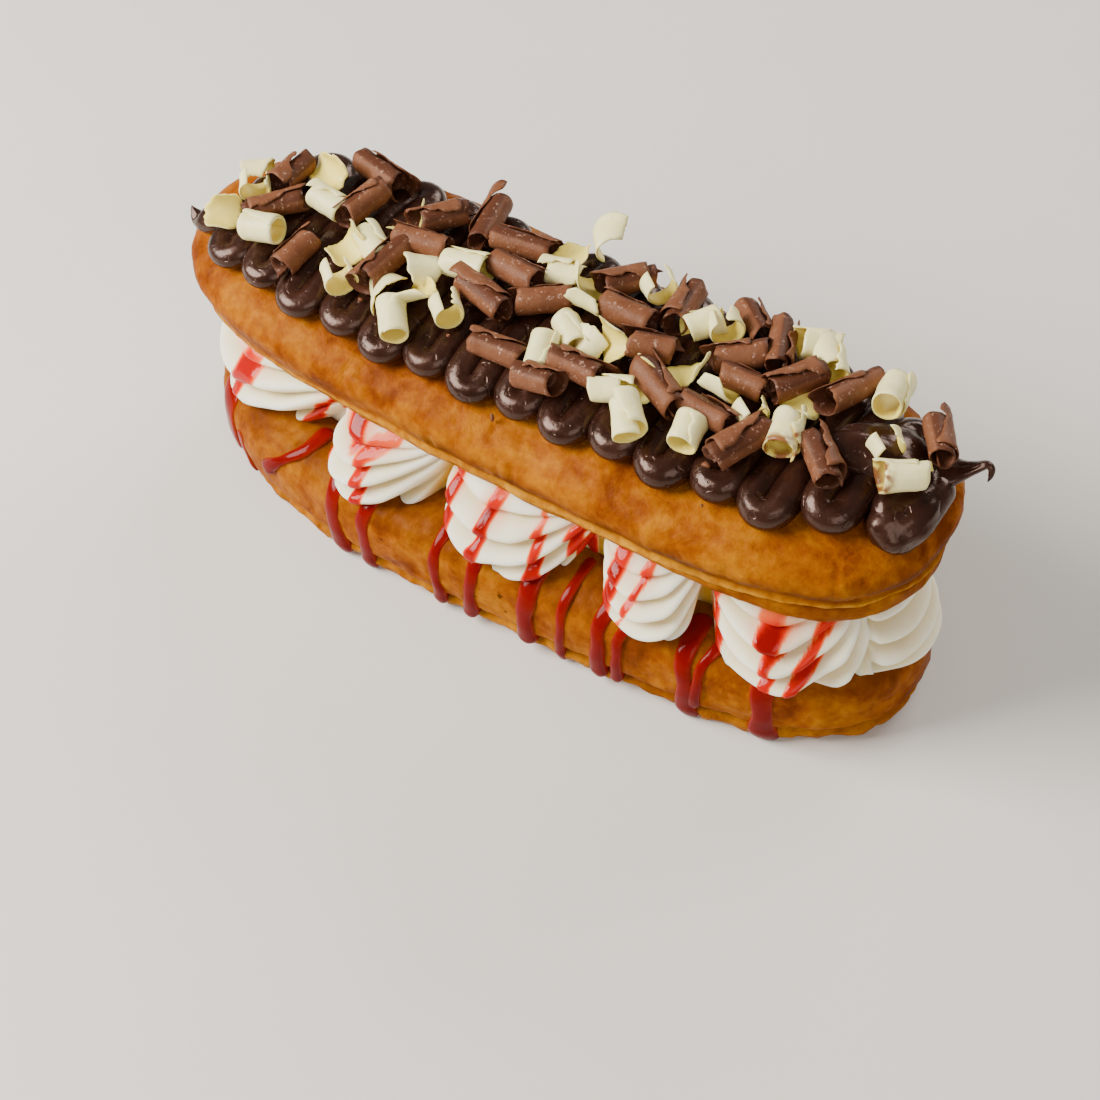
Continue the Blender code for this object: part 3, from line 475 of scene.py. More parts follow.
def swell(x, y):
    first = np.sin(x * SWELL_RATES[0] + 1.3) * np.cos(y * SWELL_RATES[1] + 0.4)
    second = np.sin(x * FINE_SWELL_RATES[0] - y * FINE_SWELL_RATES[1] + 2.1)
    return SWELL_HEIGHT * (first + FINE_SWELL_SHARE * second)


def base_bend(x):
    return BASE_BEND * np.sin((x - BASE_BEND_START) * 2.0 * math.pi / BASE_BEND_LENGTH)


def base_local(x, y):
    """The point in the lower half's own outline."""
    return turned(x - BASE_CENTRE_X, y - base_bend(x), -BASE_YAW)


def base_top(x, y):
    """Height of the lower half's upper surface."""
    return BASE_WIDEST_HEIGHT + base_dome(inset_at(*base_local(x, y), BASE_SHAPE)) + swell(x, y)


def lip_height(x, y):
    slope = LID_PITCH * x + LID_ROLL * (y - LID_CENTRE_Y)
    return LID_LIP_HEIGHT + slope + LID_END_LIFT * (x / LID_SHAPE[0]) ** 2


def cut_height(x, y):
    growth = LID_FOOT_GROWTH * x / LID_SHAPE[0]
    end = LID_END_FOOT_DEPTH * smooth_step(LID_END_FOOT_START, LID_END_FOOT_FULL, x)
    return lip_height(x, y) - LID_FOOT_DEPTH - growth - end


def lid_top(x, y):
    """Height of the lid's upper surface."""
    inset = inset_at(*turned(x, y - LID_CENTRE_Y, -LID_YAW), LID_SHAPE)
    return lip_height(x, y) + LID_WIDEST_RISE + lid_dome(inset) + swell(x, y)


# Noise

def lattice(x, y, z, seed):
    mixed = (x * 374761393 + y * 668265263 + z * 1442695041 + seed * 974634777) & 0xFFFFFFFF
    mixed = ((mixed ^ (mixed >> 13)) * 1274126177) & 0xFFFFFFFF
    return ((mixed ^ (mixed >> 16)) & 0xFFFF) / 32767.5 - 1.0


def noise(points, size, seed):
    """Smooth noise from -1 to 1 at each point, with features of the size."""
    place = np.asarray(points, float) / size
    cell = np.floor(place).astype(np.int64)
    part = place - cell
    part = part * part * (3.0 - 2.0 * part)
    total = np.zeros(place.shape[:-1])
    for corner in range(8):
        step = np.array([corner & 1, corner >> 1 & 1, corner >> 2 & 1])
        weight = np.prod(np.where(step == 1, part, 1.0 - part), axis=-1)
        total += weight * lattice(*np.moveaxis(cell + step, -1, 0), seed)
    return total


def rough(points, size, seed, octaves=3):
    """Noise of several sizes, each half as large as the one before."""
    total = 0.0
    for octave in range(octaves):
        total = total + noise(points, np.asarray(size) / 2.0**octave, seed + octave) / 2.0**octave
    return total


# Mesh helpers

def grid_normals(points):
    """Unit normals of rings of points, each ring closed on itself."""
    along = np.roll(points, -1, axis=1) - np.roll(points, 1, axis=1)
    up = np.gradient(points, axis=0)
    normal = np.cross(along, up)
    length = np.linalg.norm(normal, axis=-1, keepdims=True)
    return normal / np.maximum(length, 1e-12)


def smooth_through(stops, count):
    """A smooth line through the stops, as an array of count rows."""
    stops = np.array(stops, float)
    padded = np.concatenate([2 * stops[:1] - stops[1:2], stops, 2 * stops[-1:] - stops[-2:-1]])
    place = np.linspace(0.0, len(stops) - 1.0, count)
    cell = np.minimum(place.astype(int), len(stops) - 2)
    t = (place - cell)[:, None]
    a, b, c, d = (padded[cell + k] for k in range(4))
    return 0.5 * (2 * b + (c - a) * t + (2 * a - 5 * b + 4 * c - d) * t**2
                  + (3 * b - 3 * c + d - a) * t**3)


def closed_faces(rows, columns, first=0):
    """Quads between rings of points."""
    index = first + np.arange(rows * columns).reshape(rows, columns)
    after = np.roll(index, -1, axis=1)
    quads = np.stack([index[:-1], after[:-1], after[1:], index[1:]], axis=-1)
    return quads.reshape(-1, 4).tolist()


def ladder(ring, flip):
    """Faces that close a long ring by rungs between its two long sides."""
    count = len(ring)
    faces = []
    for i in range(count // 2):
        corners = (ring[i], ring[i + 1], ring[(count - i - 1) % count], ring[(count - i) % count])
        corners = list(dict.fromkeys(corners))
        if len(corners) > 2:
            faces.append(corners[::-1] if flip else corners)
    return faces


def flat_tubes(rings, outward):
    """Vertices and faces of closed flat tubes, each in rings whose two halves run side by side."""
    faces, first = [], 0
    for ring in rings:
        rows, columns = ring.shape[:2]
        tube = closed_faces(rows, columns, first)
        for row, flip in ((0, True), (rows - 1, False)):
            corner = [first + row * columns + i for i in range(columns)]
            for i in range(columns // 2 - 1):
                cap = [corner[i], corner[i + 1], corner[columns - 2 - i], corner[columns - 1 - i]]
                tube.append(cap[::-1] if flip else cap)
        faces += tube if outward else [face[::-1] for face in tube]
        first += rows * columns
    return np.concatenate([ring.reshape(-1, 3) for ring in rings]), faces


def add_piece(name, vertices, faces, slot, material, node, values):
    """A piece that rides on the body, with named values at its points. It may replace a node."""
    mesh = bpy.data.meshes.new(name)
    mesh.from_pydata(np.asarray(vertices).reshape(-1, 3).tolist(), [], faces)
    for key, value in values.items():
        layer = mesh.attributes.new(key, "FLOAT", "POINT")
        layer.data.foreach_set("value", np.asarray(value, np.float32).ravel())
    mesh.materials.append(material)
    mesh.shade_smooth()
    mesh.update()
    made = bpy.data.objects.new(name, mesh)
    bpy.context.scene.collection.objects.link(made)
    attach(made, "root")
    if node:
        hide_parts(node)


def ringed_piece(name, points, slot, material, node, values):
    """A closed body through rings of points, closed across below and above."""
    rows, columns = points.shape[:2]
    top = (rows - 1) * columns
    faces = closed_faces(rows, columns) + ladder(list(range(columns)), True)
    faces += ladder(list(range(top, top + columns)), False)
    add_piece(name, points, faces, slot, material, node, values)


def round_grain(travelled, sides):
    """Where the grain of a strand is read, at each distance along it and each point round it."""
    angles = np.linspace(0.0, 2.0 * math.pi, sides, endpoint=False)
    return joined(travelled[:, None], GRAIN_RADIUS * np.cos(angles), GRAIN_RADIUS * np.sin(angles))


def add_strand(name, centre, wide, tall, material, streak):
    """A closed strand of chocolate round a centre line, from its half widths and half heights."""
    angles = np.linspace(0.0, 2.0 * math.pi, wide.shape[1], endpoint=False)
    along = np.gradient(centre, axis=0)
    along /= np.linalg.norm(along, axis=1, keepdims=True)
    side = np.cross(along, (0.0, 0.0, 1.0))
    side /= np.maximum(np.linalg.norm(side, axis=1, keepdims=True), 1e-9)
    up = np.cross(side, along)
    across = side[:, None] * (wide * np.cos(angles))[..., None]
    points = centre[:, None] + across + up[:, None] * (tall * np.sin(angles))[..., None]
    rows, columns = points.shape[:2]
    last = (rows - 1) * columns
    faces = [face[::-1] for face in closed_faces(rows, columns)]
    faces += [list(range(columns)), list(range(last, last + columns))[::-1]]
    add_piece(name, points, faces, "dark_chocolate", material, "chocolate_topping",
              {"streak": 0.5 + 0.4 * streak})


# Material helpers

def new_material(name, **constants):
    made = bpy.data.materials.new(name)
    made.use_nodes = True
    shader = made.node_tree.nodes["Principled BSDF"]
    for socket, value in constants.items():
        shader.inputs[socket.replace("_", " ")].default_value = value
    return made, made.node_tree, shader


def add_node(tree, kind, inputs=None, **settings):
    made = tree.nodes.new(kind)
    for key, value in settings.items():
        setattr(made, key, value)
    for key, value in (inputs or {}).items():
        if isinstance(value, bpy.types.NodeSocket):
            tree.links.new(value, made.inputs[key])
        else:
            made.inputs[key].default_value = value
    return made


def texture(tree, size, detail, roughness=0.5, distortion=0.0, shift=0.0):
    """Noise from 0 to 1 with features of the size in metres."""
    place = add_node(tree, "ShaderNodeTexCoord").outputs["Object"]
    moved = add_node(tree, "ShaderNodeMapping", {
        0: place, "Scale": (1.0 / size,) * 3, "Location": (shift,) * 3,
    })
    return add_node(tree, "ShaderNodeTexNoise", {
        "Vector": moved.outputs[0], "Scale": 1.0, "Detail": detail, "Roughness": roughness,
        "Distortion": distortion,
    }).outputs["Fac"]


def attribute(tree, name):
    return add_node(tree, "ShaderNodeAttribute", attribute_name=name).outputs["Fac"]


def ramp(tree, factor, stops):
    """Colours or grey levels along a factor. Each stop is a place and a colour or level."""
    made = add_node(tree, "ShaderNodeValToRGB", {"Fac": factor})
    elements = made.color_ramp.elements
    while len(elements) < len(stops):
        elements.new(0.5)
    for element, (place, value) in zip(elements, stops):
        element.position = place
        colour = value if isinstance(value, tuple) else (value, value, value)
        element.color = (*colour, 1.0)
    return made.outputs["Color"]


def mixed(tree, factor, first, second, blend="MIX"):
    made = add_node(tree, "ShaderNodeMix", data_type="RGBA", blend_type=blend)
    for socket, value in (("Factor", factor), ("A", first), ("B", second)):
        target = next(s for s in made.inputs if s.name == socket and s.enabled)
        if isinstance(value, bpy.types.NodeSocket):
            tree.links.new(value, target)
        elif isinstance(value, tuple):
            target.default_value = (*value, 1.0)
        else:
            target.default_value = value
    return next(s for s in made.outputs if s.enabled)


def maths(tree, operation, first, second):
    return add_node(tree, "ShaderNodeMath", {0: first, 1: second}, operation=operation).outputs[0]


def bump(tree, shader, heights):
    """Bumps from several heights, each given with its depth in metres."""
    normal = None
    for height, depth in heights:
        made = add_node(tree, "ShaderNodeBump", {"Height": height, "Distance": depth, "Strength": 1.0})
        if normal:
            tree.links.new(normal, made.inputs["Normal"])
        normal = made.outputs[0]
    tree.links.new(normal, shader.inputs["Normal"])


def link(tree, value, shader, socket):
    tree.links.new(value, shader.inputs[socket])


# Materials

def crust_material():
    made, tree, shader = new_material("baked_crust", Specular_IOR_Level=0.03)
    patches = texture(tree, 0.011, detail=5.0, roughness=0.6, distortion=0.4)
    fine = texture(tree, 0.0022, detail=3.0, roughness=0.6, shift=7.0)
    grain = texture(tree, 0.00045, detail=2.0, shift=3.0)
    colour = ramp(tree, patches, (
        (0.35, (0.150, 0.029, 0.0002)),
        (0.44, (0.245, 0.058, 0.0002)),
        (0.52, (0.300, 0.083, 0.0002)),
        (0.64, (0.360, 0.118, 0.0002)),
    ))
    speckle = ramp(tree, fine, (
        (0.32, (0.78, 0.62, 0.40)),
        (0.52, (1.0, 1.0, 1.0)),
        (0.68, (1.22, 1.36, 1.2)),
    ))
    colour = mixed(tree, 0.8, colour, speckle, "MULTIPLY")
    # Dark brown crust colour mixed in by a mask that holds both real browning and painted shade: the shade
    # is painted in the creases, under the cream and towards the +X end
    patchy = ramp(tree, patches, ((0.30, 1.25), (0.65, 0.60)))
    browned_and_shade = maths(tree, "MULTIPLY", attribute(tree, "browned_and_shade"), patchy)
    colour = mixed(tree, browned_and_shade, colour, (0.105, 0.026, 0.0006))
    seam_tone = ramp(tree, fine, ((0.35, (0.37, 0.135, 0.002)), (0.60, (0.56, 0.255, 0.012))))
    colour = mixed(tree, attribute(tree, "seam"), colour, seam_tone)
    dots = texture(tree, 0.0030, detail=1.0, shift=11.0)
    spots = ramp(tree, dots, ((0.735, 0.0), (0.775, 0.85)))
    spots = maths(tree, "MULTIPLY", spots, attribute(tree, "spotted"))
    colour = mixed(tree, spots, colour, (0.030, 0.010, 0.001))
    link(tree, colour, shader, "Base Color")
    link(tree, ramp(tree, fine, ((0.30, 0.50), (0.70, 0.38))), shader, "Roughness")
    bump(tree, shader, ((patches, 0.0006), (fine, 0.00022), (grain, 0.00005)))
    return made


def cream_material():
    made, tree, shader = new_material(
        "whipped_cream", Subsurface_Weight=0.35, Subsurface_Scale=0.003,
        Subsurface_Radius=(1.0, 0.75, 0.45), Specular_IOR_Level=0.15)
    soft = texture(tree, 0.006, detail=3.0)
    grain = texture(tree, 0.0007, detail=2.0)
    colour = ramp(tree, soft, ((0.35, (0.90, 0.82, 0.62)), (0.65, (0.94, 0.88, 0.72))))
    # Painted shade, yellowish, in the grooves of the ridges and in the valleys between swirls
    colour = mixed(tree, attribute(tree, "groove_shade"), colour, (0.58, 0.44, 0.13))
    colour = mixed(tree, attribute(tree, "custard"), colour, (0.56, 0.32, 0.030))
    sauce = attribute(tree, "sauce")
    tint = ramp(tree, sauce, (
        (0.0, (0.90, 0.58, 0.38)),
        (0.28, (0.84, 0.15, 0.035)),
        (0.55, (0.60, 0.012, 0.0008)),
        (0.82, (0.40, 0.0018, 0.0004)),
        (1.0, (0.22, 0.0010, 0.0004)),
    ))
    colour = mixed(tree, ramp(tree, sauce, ((0.02, 0.0), (0.22, 1.0))), colour, tint)
    link(tree, colour, shader, "Base Color")
    link(tree, ramp(tree, sauce, ((0.15, 0.46), (0.50, 0.10))), shader, "Roughness")
    link(tree, ramp(tree, sauce, ((0.05, 0.8), (0.35, 0.04))), shader, "Subsurface Weight")
    bump(tree, shader, ((grain, 0.00005), (soft, 0.0002)))
    return made


def chocolate_material():
    made, tree, shader = new_material(
        "dark_chocolate", Specular_IOR_Level=0.40, Specular_Tint=(1.0, 0.66, 0.52, 1.0),
        Coat_Weight=0.05, Coat_Roughness=0.12)
    cloud = texture(tree, 0.005, detail=3.0, roughness=0.6)
    streaks = attribute(tree, "streak")
    grain = texture(tree, 0.0005, detail=2.0)
    colour = ramp(tree, cloud, ((0.30, (0.0150, 0.0048, 0.0028)), (0.70, (0.036, 0.0125, 0.0072))))
    link(tree, colour, shader, "Base Color")
    clouded = maths(tree, "MULTIPLY", cloud, 0.6)
    dull = maths(tree, "ADD", clouded, maths(tree, "MULTIPLY", streaks, 0.4))
    link(tree, ramp(tree, dull, ((0.25, 0.17), (0.75, 0.32))), shader, "Roughness")
    pits = ramp(tree, texture(tree, 0.0016, detail=0.0, shift=5.0), ((0.22, 0.0), (0.29, 1.0)))
    bump(tree, shader, ((streaks, 0.00012), (cloud, 0.0003), (grain, 0.00002), (pits, 0.00012)))
    return made


def milk_material():
    made, tree, shader = new_material(
        "milk_chocolate", Specular_IOR_Level=0.25, Specular_Tint=(1.0, 0.80, 0.68, 1.0))
    cloud = texture(tree, 0.004, detail=4.0, roughness=0.6)
    fine = texture(tree, 0.0006, detail=3.0, roughness=0.7)
    colour = ramp(tree, cloud, ((0.30, (0.125, 0.041, 0.017)), (0.70, (0.195, 0.072, 0.031))))
    # Painted shade, darker, on the inner side of the rolled sheet and over the turns wound inside
    colour = mixed(tree, attribute(tree, "inner"), colour, (0.080, 0.024, 0.010))
    specks = texture(tree, 0.0011, detail=3.0, roughness=0.8, shift=3.0)
    colour = mixed(tree, ramp(tree, specks, ((0.60, 0.0), (0.70, 0.8))), colour, (0.46, 0.27, 0.19))
    link(tree, colour, shader, "Base Color")
    link(tree, ramp(tree, cloud, ((0.30, 0.42), (0.70, 0.60))), shader, "Roughness")
    bump(tree, shader, ((fine, 0.00010), (cloud, 0.0002)))
    return made


def white_material():
    made, tree, shader = new_material(
        "white_chocolate", Specular_IOR_Level=0.4, Subsurface_Weight=0.2,
        Subsurface_Radius=(1.0, 0.8, 0.35), Subsurface_Scale=0.001)
    cloud = texture(tree, 0.003, detail=3.0)
    fine = texture(tree, 0.0006, detail=3.0, roughness=0.7)
    colour = ramp(tree, cloud, ((0.30, (0.87, 0.76, 0.33)), (0.70, (0.91, 0.83, 0.42))))
    # Painted shade, darker and yellower, on the inner side of the rolled sheet
    colour = mixed(tree, attribute(tree, "inner"), colour, (0.82, 0.66, 0.14))
    patchy = ramp(tree, texture(tree, 0.0016, detail=3.0), ((0.38, 0.0), (0.55, 1.0)))
    baked = maths(tree, "MULTIPLY", attribute(tree, "baked"), patchy)
    colour = mixed(tree, baked, colour, (0.22, 0.070, 0.012))
    link(tree, colour, shader, "Base Color")
    link(tree, ramp(tree, cloud, ((0.30, 0.36), (0.70, 0.50))), shader, "Roughness")
    bump(tree, shader, ((fine, 0.00006), (cloud, 0.0002)))
    return made


def sauce_material():
    made, tree, shader = new_material(
        "berry_sauce", Coat_Weight=0.10, Coat_Roughness=0.05, Specular_IOR_Level=0.04,
        Roughness=0.20)
    cloud = maths(tree, "SUBTRACT", texture(tree, 0.003, detail=2.0), 0.5)
    cloud = maths(tree, "MULTIPLY", cloud, 0.5)
    colour = ramp(tree, maths(tree, "ADD", attribute(tree, "thick"), cloud), (
        (0.0, (0.34, 0.045, 0.0004)),
        (0.30, (0.26, 0.010, 0.0003)),
        (0.70, (0.175, 0.0014, 0.0003)),
        (1.0, (0.140, 0.0008, 0.0002)),
    ))
    link(tree, colour, shader, "Base Color")
    return made


def floor_material():
    made, tree, shader = new_material("floor", Roughness=0.7)
    cloud = texture(tree, 0.05, detail=2.0)
    colour = ramp(tree, cloud, ((0.3, (0.720, 0.676, 0.614)), (0.7, (0.736, 0.692, 0.630))))
    link(tree, colour, shader, "Base Color")
    return made


# Bun

def shrunk_outline(shape, count, inset, yaw):
    """Outline points of a half, shrunk by each ring's inset. Rows are rings."""
    x, y = outline(shape, count)
    inset = inset[:, None]
    return turned(x * (1.0 - inset / shape[0]), y * (1.0 - inset / shape[1]), yaw)


def layered(points, layers):
    """Sum of layers of noise, each given as depth, size, seed and stretch along the axes."""
    return sum(depth * rough(points * stretch, size, seed) for depth, size, seed, stretch in layers)


def base_side(crease_inset):
    """Inset and height from the foot of the lower half up to where it is widest."""
    crease = BASE_CREASE_HEIGHT
    return smooth_through((
        (0.0034, 0.0), (0.0017, 0.0010), (0.0008, crease - 0.0016), (crease_inset, crease),
        (0.0004, crease + 0.0014), (0.0001, 0.0080), (0.0, BASE_WIDEST_HEIGHT),
    ), 40)


def build_base(material):
    side = base_side(BASE_CREASE_INSET)
    below = np.linspace(*BASE_UNDER_INSETS, BASE_UNDER_RINGS)
    above = spread(BASE_DOME_REACH, BASE_DOME_RINGS, 1.9)
    inset = np.concatenate([below, side[:, 0], above])
    level = np.concatenate([0.0 * below, side[:, 1], BASE_WIDEST_HEIGHT + base_dome(above)])[:, None]
    x, y = shrunk_outline(BASE_SHAPE, BASE_AROUND, inset, BASE_YAW)
    x = x + BASE_CENTRE_X
    y = y + base_bend(x)
    points = joined(x, y, level + swell(x, y) * np.minimum(level / BASE_WIDEST_HEIGHT, 1.0))
    crease = BASE_CREASE_HEIGHT
    foot = 1.0 - smooth_step(crease - 0.0006, crease + 0.0006, points[..., 2])
    relief = layered(points, BASE_LUMPS) + layered(points, BASE_FOOT_RUMPLES) * foot
    relief = relief * smooth_step(0.0, 0.0012, points[..., 2])
    points = points + grid_normals(points) * relief[..., None]
    ragged = 0.0005 * np.abs(rough(points[..., [0, 0, 1]], 0.003, 41))
    edge = bell(np.arange(len(inset))[:, None] - BASE_UNDER_RINGS - 1.0, 2.0)
    points[..., 2] = np.maximum(points[..., 2] + ragged * edge, 0.0)
    x, _, height = np.moveaxis(points, -1, 0)
    streaky = np.clip(rough(points * (1.0, 1.0, 0.22), 0.0042, 87), -0.6, 1.0)
    # Darker crust: on the shoulder under the cream and towards the +X end it is partly browner crust and
    # partly painted shade, in the crease it is painted shade, low on the side it is brown streaks, and it
    # darkens along the very foot
    browned_and_shade = 0.65 * smooth_step(0.0130, 0.0205, height) + 0.08 * smooth_step(0.0, 0.085, x)
    browned_and_shade = browned_and_shade + 0.45 * bell(height - crease, 0.0006)
    browned_and_shade = browned_and_shade + 0.42 * streaky * (1.0 - smooth_step(0.011, 0.018, height))
    browned_and_shade = browned_and_shade + 0.30 * (1.0 - smooth_step(0.0, 0.0016, height))
    ringed_piece("lower_crust", points, "baked_crust", material, "bun_bottom", {
        "browned_and_shade": np.clip(browned_and_shade, 0.0, 1.2),
        "seam": 0.22 * foot * (1.0 + noise(points, 0.006, 5)),
        "spotted": smooth_step(-0.040, -0.030, x) * (1.0 - smooth_step(0.005, 0.015, x)),
    })


def build_lid(material):
    side = smooth_through(LID_SIDE, LID_SIDE_RINGS)
    plain = smooth_through([
        (inset if rise == 0.0 else LID_PLAIN_INSET * (1.0 - rise / LID_WIDEST_RISE),)
        for inset, _, rise in LID_SIDE
    ], LID_SIDE_RINGS)
    below = np.linspace(*LID_UNDER_INSETS, LID_UNDER_RINGS)
    above = spread(LID_DOME_REACH, LID_DOME_RINGS, 1.7)
    (x, y), (plain_x, plain_y) = (
        shrunk_outline(LID_SHAPE, LID_AROUND, np.concatenate([below, inset, above]), LID_YAW)
        for inset in (side[:, 0], plain[:, 0]))
    # The rolled bead fades out towards the -X end
    beaded = 0.25 + 0.75 * smooth_step(-0.055, 0.010, x)
    x = plain_x + (x - plain_x) * beaded
    y = plain_y + (y - plain_y) * beaded + LID_CENTRE_Y
    share = np.concatenate([0.0 * below, side[:, 1], np.ones(len(above))])[:, None]
    rise = np.concatenate([0.0 * below, side[:, 2], LID_WIDEST_RISE + lid_dome(above)])[:, None]
    cut = cut_height(x, y)
    level = cut + (lip_height(x, y) - cut) * share + rise
    points = joined(x, y, level + swell(x, y) * np.minimum(rise / LID_WIDEST_RISE, 1.0))
    over = points[..., 2] - lip_height(points[..., 0], points[..., 1])
    folds = np.clip(rough(points * (1.0, 1.0, 0.25), 0.0030, 61) - 0.55, 0.0, 1.0)
    folds = -0.0007 * folds * smooth_step(0.0028, 0.0045, over) * (1.0 - smooth_step(0.010, 0.013, over))
    bead = layered(points, LID_BEAD_LUMPS) * bell(over - 0.0012, 0.0011)
    points = points + grid_normals(points) * (layered(points, LID_LUMPS) + folds + bead)[..., None]
    x = points[..., 0]
    wide = 0.45 + 0.55 * smooth_step(-0.03, 0.02, x) - 0.80 * smooth_step(0.045, 0.066, x)
    seam = bell(over - 0.0010, 0.0005 + 0.0011 * wide, 3) * (0.72 + 0.28 * noise(points, 0.004, 71))
    # Darker crust: a darker band above the lip, painted shade in the crease just under the pale bead,
    # painted shade towards the +X end, and a browner foot below the bead
    band = bell(over - 0.0042, 0.0017) * (0.45 + 0.50 * smooth_step(-0.04, 0.01, x))
    browned_and_shade = np.clip(band * (1.0 + 0.6 * rough(points, 0.008, 73)), 0.0, 1.0)
    browned_and_shade = browned_and_shade + 0.8 * bell(over + 0.0001, 0.0003) + 0.08 * smooth_step(0.03, 0.085, x)
    browned_and_shade = browned_and_shade + 0.30 * (1.0 - smooth_step(-0.0012, -0.0002, over))
    ringed_piece("lid_crust", points, "baked_crust", material, "bun_top", {
        "browned_and_shade": browned_and_shade, "seam": seam, "spotted": np.zeros(seam.shape),
    })


# Cream

def valley_indices(x, y):
    valleys = []
    for side, places in ((-1.0, CREAM_FRONT_VALLEYS), (1.0, CREAM_REAR_VALLEYS)):
        for place in places:
            wrong_side = np.where(y * side < 0.0, 1.0, 0.0)
            valleys.append(int(np.argmin(np.abs(x + CREAM_CENTRE_X - place) + wrong_side)))
    for end in (-1.0, 1.0):
        wrong_end = np.where(x * end < 0.0, 1.0, 0.0)
        valleys.append(int(np.argmin(np.abs(y - CREAM_END_VALLEY_Y) + wrong_end)))
    return sorted(valleys)


def kept_on_shoulder(x, y):
    """Points drawn in until they lie over the lower half's rounded shoulder."""
    for _ in range(3):
        local_x, local_y = base_local(x, y)
        short = np.clip(CREAM_SHOULDER_INSET - inset_at(local_x, local_y, BASE_SHAPE), 0.0, None)
        beyond = np.maximum(np.abs(local_y) - BASE_SHAPE[1], np.abs(local_x) - BASE_SHAPE[0])
        short = short + np.clip(beyond, 0.0, None) * CREAM_DRAW_IN
        x = x * (1.0 - short / BASE_SHAPE[0])
        y = y * (1.0 - short / BASE_SHAPE[1])
    return x, y


def streak_strength(x, rise):
    """How much sauce lies at each point of the cream, from 0 to 1."""
    strength = np.zeros(x.shape)
    wobble = 0.0006 * noise(joined(x, rise * STREAK_SPAN, 0.0), 0.0022, 81)
    for streak in CREAM_STREAKS:
        for (x0, rise0, half0, level0), (x1, rise1, half1, level1) in zip(streak, streak[1:]):
            along = np.array([(x1 - x0) * MILLIMETRE, (rise1 - rise0) * STREAK_SPAN])
            from_x, from_z = x - x0 * MILLIMETRE, (rise - rise0) * STREAK_SPAN
            part = np.clip((from_x * along[0] + from_z * along[1]) / (along @ along), 0.0, 1.0)
            away = np.hypot(from_x - part * along[0], from_z - part * along[1]) + wobble
            half = (half0 + (half1 - half0) * part) * MILLIMETRE
            wash = 0.30 * bell(away, half * 1.9 + 0.0007) * smooth_step(0.45, 0.85, rise)
            covered = np.maximum(1.0 - smooth_step(0.55, 1.35, away / half), wash)
            strength = np.maximum(strength, (level0 + (level1 - level0) * part) * covered)
    return strength


